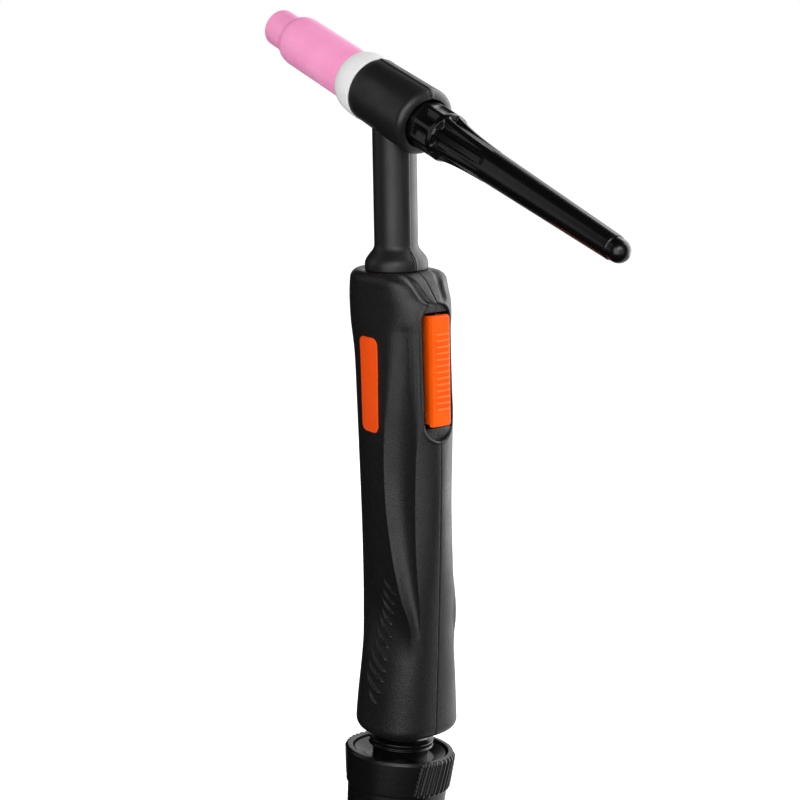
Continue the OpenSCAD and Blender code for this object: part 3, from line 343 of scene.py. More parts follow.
def fit(blank, name, body, stands_for, material, sharp=32):
    """Names a shaped blank, sweeps out slivers and loose chips that the cuts left in it, gives it
    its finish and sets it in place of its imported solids."""
    blank.name = blank.data.name = name
    mesh = blank.data
    swept = bmesh.new()
    swept.from_mesh(mesh)
    bmesh.ops.remove_doubles(swept, verts=swept.verts, dist=SLIVER)
    bmesh.ops.dissolve_degenerate(swept, edges=swept.edges, dist=SLIVER)
    chips = [f for f in swept.faces if len({g for e in f.edges for g in e.link_faces}) < 3]
    bmesh.ops.delete(swept, geom=chips, context="FACES")
    swept.to_mesh(mesh)
    swept.free()
    mesh.materials.clear()
    mesh.materials.append(material)
    mesh.polygons.foreach_set("material_index", [0] * len(mesh.polygons))
    mesh.shade_smooth()
    mesh.set_sharp_from_angle(angle=radians(sharp))
    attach(blank, body)
    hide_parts(*stands_for)
    return blank


def moulded_grain():
    """Grain of a moulded surface: Tone wanders over the piece, Height is the grain itself."""
    group = bpy.data.node_groups.new("Moulded grain", "ShaderNodeTree")
    group.interface.new_socket(name="Grain", in_out="INPUT", socket_type="NodeSocketFloat")
    group.interface.new_socket(name="Tone", in_out="OUTPUT", socket_type="NodeSocketFloat")
    group.interface.new_socket(name="Height", in_out="OUTPUT", socket_type="NodeSocketFloat")
    nodes, links = group.nodes, group.links
    given, made = nodes.new("NodeGroupInput"), nodes.new("NodeGroupOutput")
    place = placed(nodes, "TexCoord")
    flow = placed(nodes, "TexNoise", Scale=90, Detail=4.0)
    grain = placed(nodes, "TexNoise", Detail=2.5, Roughness=0.6)
    speck = placed(nodes, "Math")
    speck.operation = "MULTIPLY_ADD"
    speck.inputs[1].default_value = 0.55
    links.new(place.outputs["Object"], flow.inputs["Vector"])
    links.new(place.outputs["Object"], grain.inputs["Vector"])
    links.new(given.outputs["Grain"], grain.inputs["Scale"])
    links.new(grain.outputs["Fac"], speck.inputs[0])
    links.new(flow.outputs["Fac"], speck.inputs[2])
    links.new(speck.outputs[0], made.inputs["Tone"])
    links.new(grain.outputs["Fac"], made.inputs["Height"])
    return group


GRAIN = moulded_grain()


def moulded(name, dark, light, roughness, grain=2600, depth=0.02, uneven=0.08, coat=0.0, shine=0.5):
    """A moulded surface; depth is the grain's, in mm, and uneven is how far the roughness wanders."""
    plastic = bpy.data.materials.new(name)
    plastic.use_nodes = True
    nodes, links = plastic.node_tree.nodes, plastic.node_tree.links
    shader = nodes["Principled BSDF"]
    shader.inputs["Coat Weight"].default_value = coat
    shader.inputs["Specular IOR Level"].default_value = shine
    shader.inputs["Coat Roughness"].default_value = 0.06
    skin = placed(nodes, "Group")
    skin.node_tree = GRAIN
    skin.inputs["Grain"].default_value = grain
    tone = two_tone(nodes, dark, light)
    lowest, highest = 0.5, 1.05
    reach = placed(nodes, "MapRange", From_Min=lowest, From_Max=highest)
    spread = placed(nodes, "MapRange", From_Min=lowest, From_Max=highest,
                    To_Min=roughness + uneven / 2, To_Max=roughness - uneven / 2)
    bump = placed(nodes, "Bump", Strength=1.0, Distance=depth * MM)
    links.new(skin.outputs["Tone"], reach.inputs["Value"])
    links.new(reach.outputs["Result"], tone.inputs["Factor"])
    links.new(tone.outputs["Result"], shader.inputs["Base Color"])
    links.new(skin.outputs["Tone"], spread.inputs["Value"])
    links.new(spread.outputs["Result"], shader.inputs["Roughness"])
    links.new(skin.outputs["Height"], bump.inputs["Height"])
    links.new(bump.outputs[0], shader.inputs["Normal"])
    return plastic


def seam(bm, height, towards, groove=-0.6):
    """Raises a mould seam on a turned skin where Y = 0 crosses it on one side: two ridges with a
    groove between them, or a single ridge where groove is 1."""
    skin_from, half_groove, half_w = 6.5, 0.15, 0.5
    for v in bm.verts:
        r, off = hypot(v.co.x, v.co.y), abs(v.co.y)
        if r < skin_from or off >= half_w or v.co.x * towards < 0:
            continue
        lift = height * (groove if off <= half_groove else 1)
        v.co.x += lift * v.co.x / r
        v.co.y += lift * v.co.y / r


def rod(r, low, high, steps=96):
    """A plain cylinder between two heights (mm), to cut with or to join."""
    bm = bmesh.new()
    bmesh.ops.create_cone(bm, cap_ends=True, segments=steps, radius1=r, radius2=r, depth=high - low)
    bmesh.ops.translate(bm, verts=bm.verts, vec=(0, 0, (low + high) / 2))
    return bm


def head_moulding():
    front, back, socket = -10.5, 18, 13
    bm = bmesh.new()
    turned(bm, rounded([
        (10.4, front, 0.25), (10.9, back, 2.6), (8.0, back, 0.35), (8.0, socket, 0),
        (CORE_R, socket, 0), (CORE_R, front, 0),
    ]), steps=192)
    seam(bm, 0.32, towards=-1, groove=1)
    stub = stock(rod(NECK_R, 108.2, 130))
    cut(stub, [stock(rod(11.5, -30, 30), HEAD_AXIS)], "INTERSECT")
    head = cut(stock(bm, HEAD_AXIS), [stub], "UNION")
    bore = stock(rod(6.23, 97.3, 130))
    cut(bore, [stock(rod(8.6, -30, 30), HEAD_AXIS)])
    cut(head, [bore, stock(rod(TUBE_R, 97.3, 130)), stock(rod(CORE_R, -12, 14), HEAD_AXIS)])
    phenolic = moulded("head_phenolic", (0.0055, 0.0055, 0.0057), (0.011, 0.011, 0.0113), 0.39,
                       grain=1900, depth=0.05, uneven=0.24)
    fit(head, "head_shell", TORCH, ["head_moulding"], phenolic)


head_moulding()

# ---- Cup gasket and gas nozzle ----
# White PTFE shield, turned with a domed front, clamped between the head and the nozzle. The
# nozzle is pressed and fired alumina with a pink tint, ground at its mouth, and screws on.


def milky(material, weight, radius):
    """Lets light in under the surface, as far as the radius (m) says for red, green and blue."""
    shader = material.node_tree.nodes["Principled BSDF"]
    shader.inputs["Subsurface Weight"].default_value = weight
    shader.inputs["Subsurface Radius"].default_value = radius


def cup_gasket():
    face_r, bulge, front, rise, back = 8.8, 1.95, -20.1, 8.2, -10.55
    dome = [(face_r + bulge * sin(pi * i / 28), front + rise * (1 - cos(pi * i / 28)), 0)
            for i in range(1, 15)]
    bm = bmesh.new()
    turned(bm, rounded(
        [(6.23, front, 0), (face_r, front, 0.3)] + dome + [(10.75, back, 0.2), (6.23, back, 0)]
    ), steps=128)
    ptfe = moulded("white_ptfe", (0.76, 0.76, 0.755), (0.87, 0.87, 0.865), 0.42,
                   grain=900, depth=0.006, uneven=0.12)
    milky(ptfe, 0.15, (0.002, 0.002, 0.002))
    fit(stock(bm, HEAD_AXIS), "gasket_shield", TORCH, ["cup_gasket"], ptfe)


def gas_nozzle():
    back, step, mouth = -20.15, -56.4, -67.15
    shoulder = [(6.9 + 1.6 * cos(pi * i / 32), step + 4.0 * (1 - sin(pi * i / 32)), 0) for i in range(17)]
    bm = bmesh.new()
    turned(bm, rounded(
        [(6.45, back, 0.3), (8.5, back, 0.35)] + shoulder
        + [(6.3, -56.5, 0.08), (6.3, mouth, 0.6), (4.8, mouth, 0.4), (4.8, -56.65, 0), (6.45, -52.25, 0)]
    ), steps=128)
    alumina = moulded("pink_alumina", (0.90, 0.29, 0.53), (0.98, 0.37, 0.64), 0.42,
                      grain=1500, depth=0.01, uneven=0.1)
    milky(alumina, 0.2, (0.003, 0.0012, 0.002))
    fit(stock(bm, HEAD_AXIS), "nozzle_cup", "nozzle", ["gas_nozzle"], alumina)


cup_gasket()
gas_nozzle()

# ---- Back cap with its insert and sealing ring ----
# Polished black phenolic moulded round a threaded brass insert: a fluted collar, short grip
# fins behind it, and a long tapered barrel that ends in a ring and a ball.


def refined(points, step=0.7):
    """An outline with its long runs divided, so that flutes and fins have points to move."""
    fine = [points[0]]
    for a, b in zip(points, points[1:]):
        parts = max(1, round(abs(b.y - a.y) / step))
        fine += [a.lerp(b, k / parts) for k in range(1, parts + 1)]
    return fine


def back_cap():
    front, step, collar_end, ring_t, ball_t, tip_r = 14.6, 21.2, 30.1, 108.3, 109.9, 3.6
    skin_from, sector = 3.5, pi / 4
    flute_r, flute_centre, shallow = 4.2, 11.1, 0.45
    fin_t, fin_r, fin_taper, fin_rise, fin_fade, fin_half_w = 31, 5.58, 0.0215, 1.5, 8, 1.1
    outline = rounded([
        (3.33, front, 0), (6.5, front, 0.3), (7.7, front + 1.2, 0.5), (7.7, collar_end - 0.5, 0.35),
        (5.6, collar_end + 0.2, 0.5), (3.95, ring_t - 0.35, 0.15), (3.6, ring_t, 0),
        (3.62, ring_t + 0.35, 0.1),
    ], steps=4)
    outline += [Vector((tip_r * cos(radians(a)), ball_t + tip_r * sin(radians(a))))
                for a in range(6, 91, 6)]
    bore = [Vector((0, 110.5)), Vector((1.9, 110.5)), Vector((1.9, 23.65)), Vector((3.33, 23.65))]
    bm = bmesh.new()
    turned(bm, refined(outline) + bore + outline[:1], steps=320, closed=False)
    for v in bm.verts:
        r, t = hypot(v.co.x, v.co.y), v.co.z
        if r < skin_from or t < front + 0.5 or t > 52:
            continue
        turn = atan2(v.co.y, v.co.x)
        to_flute = abs((turn + sector / 2) % sector - sector / 2) * r
        to_fin = abs(turn % sector - sector / 2) * r
        moved = r
        if t < collar_end + 0.2 and to_flute < flute_r:
            deep = shallow + (1 - shallow) * min(1, max(0, (t - step) / 0.5))
            hollow = flute_centre - sqrt(flute_r ** 2 - to_flute ** 2)
            moved = r + (min(hollow, r) - r) * deep
        if collar_end - 2.4 < t < collar_end + 21.5:
            crest = fin_r - fin_taper * (t - fin_t) + fin_rise * exp((fin_t - t) / fin_fade)
            side = 1 / (1 + (to_fin / fin_half_w) ** 8)
            moved = max(moved, r + (max(min(crest, 7.5), r) - r) * side)
        v.co.x *= moved / r
        v.co.y *= moved / r
    worked = [v for v in bm.verts if 17 < v.co.z < 51 and hypot(v.co.x, v.co.y) > skin_from]
    bmesh.ops.smooth_vert(bm, verts=worked, factor=0.3,
                          use_axis_x=True, use_axis_y=True, use_axis_z=False)
    gloss = moulded("cap_gloss_phenolic", (0.0015, 0.0012, 0.0015), (0.003, 0.0024, 0.003), 0.27,
                    grain=420, depth=0.0008, uneven=0.05, coat=0.15, shine=0.42)
    fit(stock(bm, HEAD_AXIS), "cap_barrel", "cap", ["back_cap"], gloss, sharp=50)


dress("back_cap_insert", machined("insert_brass", (0.42, 0.27, 0.08), (0.76, 0.58, 0.26), 0.3, HEAD_AXIS))
seal_rubber = moulded("seal_rubber", (0.012, 0.012, 0.012), (0.022, 0.022, 0.022), 0.55, grain=1200)
dress("back_cap_oring", seal_rubber)
back_cap()

# ---- Neck tube and neck sleeve ----
# Drawn copper tube brazed into the core, under a moulded rubber-like sleeve. The sleeve flares
# where it seats on the handle and carries its own mould seam down the front.


def neck_sleeve():
    foot, spigot_r = 68, 6.2
    bm = bmesh.new()
    turned(bm, rounded([
        (TUBE_R, foot, 0), (spigot_r, foot, 0.3), (spigot_r, 72.75, 0), (8.2, 72.75, 0.3),
        (8.2, 74.75, 0.3), (spigot_r, 74.75, 0), (spigot_r, 77.05, 0), (10.2, 77.05, 0.35),
        (10.25, 80.2, 4.2), (NECK_R, 84.1, 3.6), (NECK_R, 130, 0), (TUBE_R, 130, 0),
    ]), steps=160)
    seam(bm, 0.14, towards=1)
    sleeve = cut(stock(bm), [stock(rod(11.55, -30, 30), HEAD_AXIS)])
    spigot = bmesh.new()
    turned(spigot, [(TUBE_R, 100), (spigot_r, 100), (spigot_r, 130), (TUBE_R, 130)])
    spigot = cut(stock(spigot), [stock(rod(8.65, -30, 30), HEAD_AXIS)])
    cut(sleeve, [spigot], "UNION")
    satin = moulded("neck_satin", (0.0045, 0.0045, 0.0047), (0.0081, 0.0081, 0.0085), 0.42,
                    grain=1600, depth=0.03, uneven=0.18)
    fit(sleeve, "neck_cover", TORCH, ["neck_sleeve"], satin)


dress("neck_tube", machined("tube_copper", (0.38, 0.14, 0.06), (0.78, 0.4, 0.22), 0.3))
neck_sleeve()

# ---- Power adapter and its boot ----
# Hexagon brass nut with a barbed hose spigot, turned in one piece and soldered to the tube. A
# moulded rubber boot is pushed over it to insulate it inside the handle.
dress("power_adapter", machined("adapter_brass", (0.42, 0.27, 0.08), (0.76, 0.58, 0.26), 0.28))
boot_rubber = moulded("boot_rubber", (0.012, 0.012, 0.013), (0.026, 0.026, 0.028), 0.6,
                      grain=1100, depth=0.03)
dress("adapter_boot", boot_rubber)

# ---- Microswitch, plunger, terminals and carrier ----
# Snap-action switch in a moulded case; its red plunger passes through the case's face. Two
# stamped brass terminals leave its foot, and a grey cradle holds it on two pegs.
carrier_nylon = moulded("carrier_nylon", (0.07, 0.07, 0.075), (0.11, 0.11, 0.12), 0.5, grain=1500)
dress("switch_carrier", carrier_nylon)
dress("switch_body", moulded("switch_case", (0.010, 0.010, 0.011), (0.02, 0.02, 0.022), 0.4, grain=1300))
plunger_red = moulded("plunger_red", (0.34, 0.03, 0.02), (0.5, 0.05, 0.03), 0.35, grain=900, depth=0.004)
dress("switch_plunger", plunger_red)
dress("switch_terminals", machined("terminal_brass", (0.45, 0.3, 0.1), (0.8, 0.62, 0.3), 0.25))

# ---- Handle shells ----
# Two nylon shells, moulded as mirror halves and screwed together along Y = 0. Each has a sharp
# crease with a scooped finger band in front of it, grip ribs low on its side, and spark-eroded grain.
TOP, FOOT, TOP_ROUND, FOOT_ROUND, WALL = 77.0, -77.5, 3.0, 3.6, 2.2
# (height, reach to the front, reach to the back, half width, squareness of the front)
OUTLINE = [
    (-77.5, 17.2, 17.4, 16.0, 2.5), (-68.2, 17.6, 16.6, 15.2, 2.6), (-51.15, 18.7, 13.8, 14.0, 2.6),
    (-34.1, 19.6, 13.3, 13.1, 2.5), (-17.05, 20.5, 13.8, 12.4, 2.25), (0, 21.3, 14.6, 12.1, 2.05),
    (20.02, 21.9, 15.3, 12.3, 2.1), (33.88, 21.8, 15.8, 12.5, 2.4), (50.05, 21.6, 16.8, 12.6, 2.43),
    (60.06, 21.5, 18.8, 12.8, 2.4), (67.76, 21.0, 19.4, 12.8, 2.4), (72.0, 17.7, 19.0, 12.8, 2.9),
    (77, 13.3, 18.2, 12.7, 4.4),
]
# (height, angle of the scoop's front edge, angle of the crease, how far the crease stands out,
#  depth of the scoop, flatness of the side behind the crease, softness of the crease in degrees)
FEATURES = [
    (-77.5, 19, 26, 0, 0, 0, 2), (-51, 19, 26, 0, 0, 0.1, 2), (-43, 20, 27.5, 0.25, 0, 0.5, 1),
    (-38.5, 20.5, 29.2, 0.6, 0.3, 0.8, 0.2), (-34, 20.5, 32.5, 0.8, 0.65, 1, 0.2),
    (-28.5, 21, 38, 0.9, 0.95, 1, 0.2), (-22.5, 22, 42.5, 1.0, 1.1, 1, 0.2),
    (-13.6, 23, 48.5, 1.0, 1.15, 1, 0.2), (2.4, 23, 56.5, 0.95, 1.15, 1, 0.2),
    (19, 22, 58, 0.85, 1.15, 1, 0.3), (30, 20.5, 55.5, 0.7, 1.15, 0.95, 3),
    (44, 19.5, 49, 0.6, 1.1, 0.8, 6), (56, 19.5, 45, 0.4, 0.8, 0.65, 7),
    (63, 20, 43, 0.1, 0.15, 0.4, 7), (70, 20, 42, 0, 0, 0.2, 7), (77, 20, 42, 0, 0, 0, 7),
]


def smooth_row(rows, z):
    """The row at height z of a table, run smoothly through its entries."""
    i = max(k for k in range(len(rows) - 1) if rows[k][0] <= z or k == 0)
    span = rows[i + 1][0] - rows[i][0]
    u = min(max((z - rows[i][0]) / span, 0), 1)

    def slope(k, column):
        a, b = max(k - 1, 0), min(k + 1, len(rows) - 1)
        return (rows[b][column] - rows[a][column]) / (rows[b][0] - rows[a][0]) * span

    h1, h2 = 2 * u ** 3 - 3 * u * u + 1, u ** 3 - 2 * u * u + u
    h3, h4 = 3 * u * u - 2 * u ** 3, u ** 3 - u * u
    return [h1 * rows[i][c] + h2 * slope(i, c) + h3 * rows[i + 1][c] + h4 * slope(i + 1, c)
            for c in range(1, len(rows[0]))]


def rounding(r, depth):
    """How far an edge rounding of radius r draws a face back, depth mm from the edge."""
    return r - sqrt(max(r * r - max(r - depth, 0) ** 2, 0))


def plain_reach(row, angle, drawn):
    """Reach of the plain section at an angle from the front."""
    front, back, half_w, squareness = row
    c, s = abs(cos(radians(angle))), abs(sin(radians(angle)))
    ahead = angle < 90
    power = squareness if ahead else 2
    a = (front if ahead else back) - drawn
    return ((c / a) ** power + (s / (half_w - drawn)) ** power) ** (-1 / power)


def chord(angle, a, ra, b, rb):
    """Reach at an angle of the straight line between two points given as angle and reach."""
    p = Vector((ra * cos(radians(a)), ra * sin(radians(a))))
    q = Vector((rb * cos(radians(b)), rb * sin(radians(b))))
    d = Vector((cos(radians(angle)), sin(radians(angle))))
    n = Vector((q.y - p.y, p.x - q.x))
    return n.dot(p) / n.dot(d)


BACK_ANGLE, EDGE_LIFT, SWELL = 138, 0.4, 0.9


def formed_reach(row, form, angle, drawn):
    """Reach of the shell's section with its scoop, crease and flattened side."""
    edge, crease, stand, scoop, flat, _ = form
    plain = plain_reach(row, angle, drawn)
    if angle >= BACK_ANGLE:
        return plain
    at_edge = plain_reach(row, edge, drawn) + EDGE_LIFT * min(scoop, 1)
    at_crease = plain_reach(row, crease, drawn) + stand
    if angle <= edge:
        return plain + EDGE_LIFT * min(scoop, 1) * (angle / edge) ** 3
    if angle <= crease:
        t = (angle - edge) / (crease - edge)
        straight = chord(angle, edge, at_edge, crease, at_crease)
        hollow = scoop * 1.35 * max(sin(pi * t ** 0.63), 0) ** 1.1
        share = min(1, max(scoop, stand) * 2)
        return plain + (straight - hollow - plain) * share
    t = (angle - crease) / (BACK_ANGLE - crease)
    straight = chord(angle, crease, at_crease, BACK_ANGLE, plain_reach(row, BACK_ANGLE, drawn))
    swell = SWELL * 4 * t * (1 - t)
    near = stand * max(0, 1 - t * 3) ** 2
    return plain + (straight + swell - plain) * flat + near * (1 - flat)


# (height and angle of a grip rib's upper end, height and angle of its lower end)
RIBS = [
    (-22.5, 68.5, -27.5, 44), (-26.5, 71, -31, 47), (-29.5, 75.5, -34.5, 49.5), (-33.5, 77.5, -38.5, 53.5),
    (-36, 84.5, -42.5, 53), (-40, 88.5, -46, 57.5), (-43.5, 87.5, -50, 59), (-47.5, 92.5, -54, 60.5),
    (-51.5, 97, -57.5, 63), (-55.5, 99.5, -61.5, 68), (-61, 90.5, -65.5, 73),
]
RIB_BOW, RIB_HALF_W, RIB_SWELL = 0.7, 0.2, 0.22


def rib_height(z, angle, r):
    """Crescent grip ribs, up to 1 mm high, that rise from nothing to a crest near their lower end."""
    best = 0
    for z0, a0, z1, a1 in RIBS:
        if not min(z0, z1) - 2 < z < max(z0, z1) + 2:
            continue
        along = Vector((radians(a1 - a0) * r, z1 - z0))
        here = Vector((radians(angle - a0) * r, z - z0))
        t = here.dot(along) / along.length_squared
        if not -0.05 < t < 1.05:
            continue
        off = (here.x * along.y - here.y * along.x) / along.length + RIB_BOW * 4 * t * (1 - t)
        crest = max(0, sin(pi * min(max(t, 0), 1) ** 1.9)) ** 0.6
        half_w = RIB_HALF_W + RIB_SWELL * max(0, sin(pi * min(max(t, 0), 1)))
        best = max(best, crest * max(0, 1 - (off / (2 * half_w)) ** 2) ** 2)
    return best


def obround_gap(y, z, half_w, low, high):
    """Distance outside an obround in the YZ plane; less than nothing inside it."""
    return hypot(y, z - min(max(z, low + half_w), high - half_w)) - half_w


@lru_cache(maxsize=None)
def section(z):
    """The skin's section at a height: its outline, its features and how far the ends draw it in."""
    drawn = rounding(TOP_ROUND, TOP - z) + rounding(FOOT_ROUND, z - FOOT)
    return smooth_row(OUTLINE, z), smooth_row(FEATURES, z), drawn


# the recess round the trigger: half width, low end, high end; a fine lip runs round it, and a
# shallow valley leads from it to the handle's top: (height, distance from the seam)
RECESS, LIP = (5.25, 24.0, 68.1), 0.3
VALLEY_FROM, VALLEY_DEEP, VALLEY_HALF_W = 67.5, 0.95, 1.7
VALLEY = [(67.4, 1.5), (69, 3.5), (71, 4.25), (73.5, 4.9), (76, 6.1), (78, 7.2)]


def shell_reach(z, angle):
    """Reach of the finished outer skin at a height and an angle from the front."""
    row, form, drawn = section(round(z, 4))
    soft = form[-1]
    if soft > 0.25:
        around = [min(max(angle + soft * k / 2, 0), 180) for k in (-2, -1, 0, 1, 2)]
        r = sum(formed_reach(row, form, a, drawn) for a in around) / len(around)
    else:
        r = formed_reach(row, form, angle, drawn)
    y = r * sin(radians(angle))
    if -68 < z < -20:
        r += rib_height(z, angle, r)
    if angle < 40 and z > 18:
        gap = obround_gap(y, z, *RECESS)
        if gap < 1.2:
            lip = max(0, 1 - ((gap - 0.6) / 0.6) ** 2)
            r += LIP * lip ** 2 - rounding(0.3, max(gap, 0))
        if z > VALLEY_FROM:
            off = abs(y - smooth_row(VALLEY, z)[0]) / VALLEY_HALF_W
            if off < 1:
                r -= VALLEY_DEEP * (1 - off ** 2) ** 2 * min(1, (z - VALLEY_FROM) / 2)
    return r - rounding(0.35, max(y, 0.05) - 0.05)


def spaced(low, high, step):
    """Even steps from low up to, but not at, high."""
    count = max(1, round((high - low) / step))
    return [low + (high - low) * k / count for k in range(count)]


def half_skin(side, reach, heights, columns, seam_y):
    """A closed half of the handle: a grid wrapped to the skin, with its flat side and ends filled."""
    last = len(heights) - 1
    bm = bmesh.new()
    bmesh.ops.create_grid(bm, x_segments=columns, y_segments=last, size=0.5)
    grid = {(round((v.co.x + 0.5) * columns), round((v.co.y + 0.5) * last)): v for v in bm.verts}
    for (i, j), v in grid.items():
        z = heights[j]
        angle, r = reach(z, i)
        v.co = (r * cos(radians(angle)), side * max(r * sin(radians(angle)), seam_y), z)
    rim = [e for e in bm.edges if e.is_boundary]
    arcs = [[e for e in rim if all(abs(v.co.z - z) < 1e-5 for v in e.verts)]
            for z in (heights[0], heights[-1])]
    lids = [bm.edges.new((grid[0, j], grid[columns, j])) for j in (0, last)]
    for arc, lid in zip(arcs, lids):
        bmesh.ops.contextual_create(bm, geom=arc + [lid])
    sides = [bm.edges.get((grid[i, j], grid[i, j + 1])) for i in (0, columns) for j in range(last)]
    bmesh.ops.bridge_loops(bm, edges=sides)
    bmesh.ops.recalc_face_normals(bm, faces=bm.faces)
    return bm


# columns of the skin between its seam, the scoop's edge, the crease, the side and the back
COLUMNS, SIDE_ANGLE = [34, 40, 46, 14, 20], 100
NEAR_SEAM = [0.0, 0.35, 0.7, 1.05]
EXTRA = len(NEAR_SEAM) - 1
SKIN_COLUMNS = sum(COLUMNS) + 2 * EXTRA


def outer_angle(z, i):
    """Angle of column i: columns run along the scoop's edge and the crease, and crowd at the seam."""
    if i < EXTRA:
        return NEAR_SEAM[i]
    if i > SKIN_COLUMNS - EXTRA:
        return 180 - NEAR_SEAM[SKIN_COLUMNS - i]
    edge, crease = smooth_row(FEATURES, z)[:2]
    stops = [NEAR_SEAM[-1], edge, crease, SIDE_ANGLE, BACK_ANGLE, 180 - NEAR_SEAM[-1]]
    i -= EXTRA
    for k, count in enumerate(COLUMNS):
        if i <= count:
            return stops[k] + (stops[k + 1] - stops[k]) * i / count
        i -= count


def outer_half(side):
    """The outside of a shell; its rows crowd where ribs, recess and rounded ends need them."""
    eased = [1 - cos(pi / 2 * k / 7) for k in range(7)]
    heights = [FOOT + FOOT_ROUND * e for e in eased] + [TOP - TOP_ROUND * e for e in eased]
    for low, high, step in ((FOOT + FOOT_ROUND, -67, 0.9), (-67, -21, 0.26), (-21, 20, 0.9),
                            (20, 31, 0.3), (31, 61, 0.6), (61, TOP - TOP_ROUND, 0.3)):
        heights += spaced(low, high, step)
    heights = sorted({round(h, 4) for h in heights + [TOP - TOP_ROUND]})

    def reach(z, i):
        angle = outer_angle(z, i)
        return angle, shell_reach(min(max(z, FOOT + 0.0001), TOP - 0.0001), angle)

    return half_skin(side, reach, heights, SKIN_COLUMNS, 0.05)


def inner_half(side):
    """The hollow of a shell, a wall's thickness inside its skin."""
    columns = 48

    def reach(z, i):
        angle = 180 * i / columns
        return angle, formed_reach(*section(z)[:2], angle, section(z)[2]) - WALL

    heights = spaced(FOOT + WALL, TOP - WALL, 3.5) + [TOP - WALL]
    return half_skin(side, reach, heights, columns, -1.0)


def rod_y(r, x, z, low, high, steps=48):
    """A loose cylinder along Y (mm)."""
    bm = rod(r, low, high, steps)
    bmesh.ops.rotate(bm, verts=bm.verts, cent=(0, 0, 0), matrix=Matrix.Rotation(radians(-90), 3, "X"))
    bmesh.ops.translate(bm, verts=bm.verts, vec=(x, 0, z))
    return bm


def block(low, high):
    """A loose box between two corners (mm)."""
    bm = bmesh.new()
    bmesh.ops.create_cube(bm, size=1)
    bmesh.ops.scale(bm, vec=[b - a for a, b in zip(low, high)], verts=bm.verts)
    bmesh.ops.translate(bm, vec=[(a + b) / 2 for a, b in zip(low, high)], verts=bm.verts)
    return bm


def thickened(bm):
    """Closes a sheet with a second layer, and gives that layer's vertices to be moved away."""
    grown = bmesh.ops.extrude_face_region(bm, geom=list(bm.faces))
    return [g for g in grown["geom"] if isinstance(g, bmesh.types.BMVert)]


def obround(half_w, low, high, x0, x1):
    """A loose obround bar along X (mm)."""
    bm = bmesh.new()
    around = []
    for start, centre in ((pi / 2, high - half_w), (-pi / 2, low + half_w)):
        for k in range(33):
            a = start - pi * k / 32
            around.append(bm.verts.new((x0, half_w * sin(a), centre + half_w * cos(a))))
    bm.faces.new(around)
    bmesh.ops.translate(bm, vec=(x1 - x0, 0, 0), verts=thickened(bm))
    bmesh.ops.recalc_face_normals(bm, faces=bm.faces)
    return bm


# places of the screws and of the switch carrier's pegs, and of the trigger's pin, as X and Z
SCREWS = [(11.6, 71.6), (13.0, 19.6), (10.6, -57.6)]
PEG = (7.85, 54.0)
PIN = (17.3, 32.0)
BADGE_Z = 40.8


def side_reach(x, z):
    """How far the skin stands out in Y at a place on the side."""
    y = 12.0
    for _ in range(8):
        y = sqrt(max(shell_reach(z, degrees(atan2(y, x))) ** 2 - x * x, 1))
    return y


def plate(half_w, half_h, corner, outside, inside, edge=0.0):
    """A plate that follows the left side: a grid with rounded corners, thickened inwards."""
    bm = bmesh.new()
    bmesh.ops.create_grid(bm, x_segments=44, y_segments=110, size=1)
    for v in bm.verts:
        x, z = (half * (1 - (1 - abs(share)) ** 1.35) * (1 if share >= 0 else -1)
                for share, half in ((v.co.x, half_w), (v.co.y, half_h)))
        dx, dz = abs(x) - (half_w - corner), abs(z) - (half_h - corner)
        if dx > 0 and dz > 0:
            draw = max(dx, dz) / hypot(dx, dz)
            x += (1 if x > 0 else -1) * dx * (draw - 1)
            z += (1 if z > 0 else -1) * dz * (draw - 1)
            border = corner - hypot(dx * draw, dz * draw)
        else:
            border = min(half_w - abs(x), half_h - abs(z))
        z += BADGE_Z
        v.co = (x, -(side_reach(x, z) + outside - rounding(edge, border)), z)
    for v in thickened(bm):
        v.co.y = -(side_reach(v.co.x, v.co.z) + inside)
    bmesh.ops.recalc_face_normals(bm, faces=bm.faces)
    return bm


def shell(side):
    """A shell with its bosses and end wall, and the cuts that seat the other pieces."""
    right = side > 0
    hollow = stock(inner_half(side))
    kept = [stock(obround(6.85, 22.4, 69.7, 12.8, 45)), stock(block((-40, -20, -78), (45, 20, -62.4)))]
    kept += [stock(rod_y(2.7, x, z, -20, 20)) for x, z in SCREWS]
    if right:
        kept += [stock(rod_y(4.1, x, z, 5.2, 20)) for x, z in SCREWS]
    kept.append(stock(rod_y(2.8, *PEG, 4.6 if right else -20, 20 if right else -4.6)))
    cut(hollow, kept)
    half = cut(stock(outer_half(side)), [hollow])
    ledges = [stock(block((14, -6, 65.3), (20.0, 6, 69))), stock(block((14, -6, 23), (20.6, 6, 28.2)))]
    cuts = [
        cut(stock(obround(*RECESS, 14.4, 45)), ledges),
        stock(block((11, -1.45, 52.6), (14.6, 1.45, 55.15))),
        stock(block((11, -1.45, 60.9), (14.6, 1.45, 63.45))),
        stock(rod_y(1.03, *PIN, -6.4, 6.4)),
    ]
    for x, z in SCREWS:
        cuts.append(stock(rod_y(1.43, x, z, -8.05, 8.2)))
        if right:
            cuts.append(stock(rod_y(2.85, x, z, 7.15, 30)))
    mouth = bmesh.new()
    turned(mouth, [(0, -78), (13.2, -78), (12.6, -77.51), (10.9, -75.19), (0, -75.19)], closed=True)
    cuts += [
        stock(rod_y(1.23, *PEG, 0 if right else -8.4, 8.4 if right else 0)),
        stock(rod(13.23, -75.2, -64)), stock(rod(11.3, -70, -61.4)), stock(mouth),
        stock(rod(6.23, 73.8, 78)),
    ]
    if not right:
        cuts.append(stock(plate(5.15, 15.55, corner=2.65, outside=3.0, inside=-0.9)))
    return cut(half, cuts)


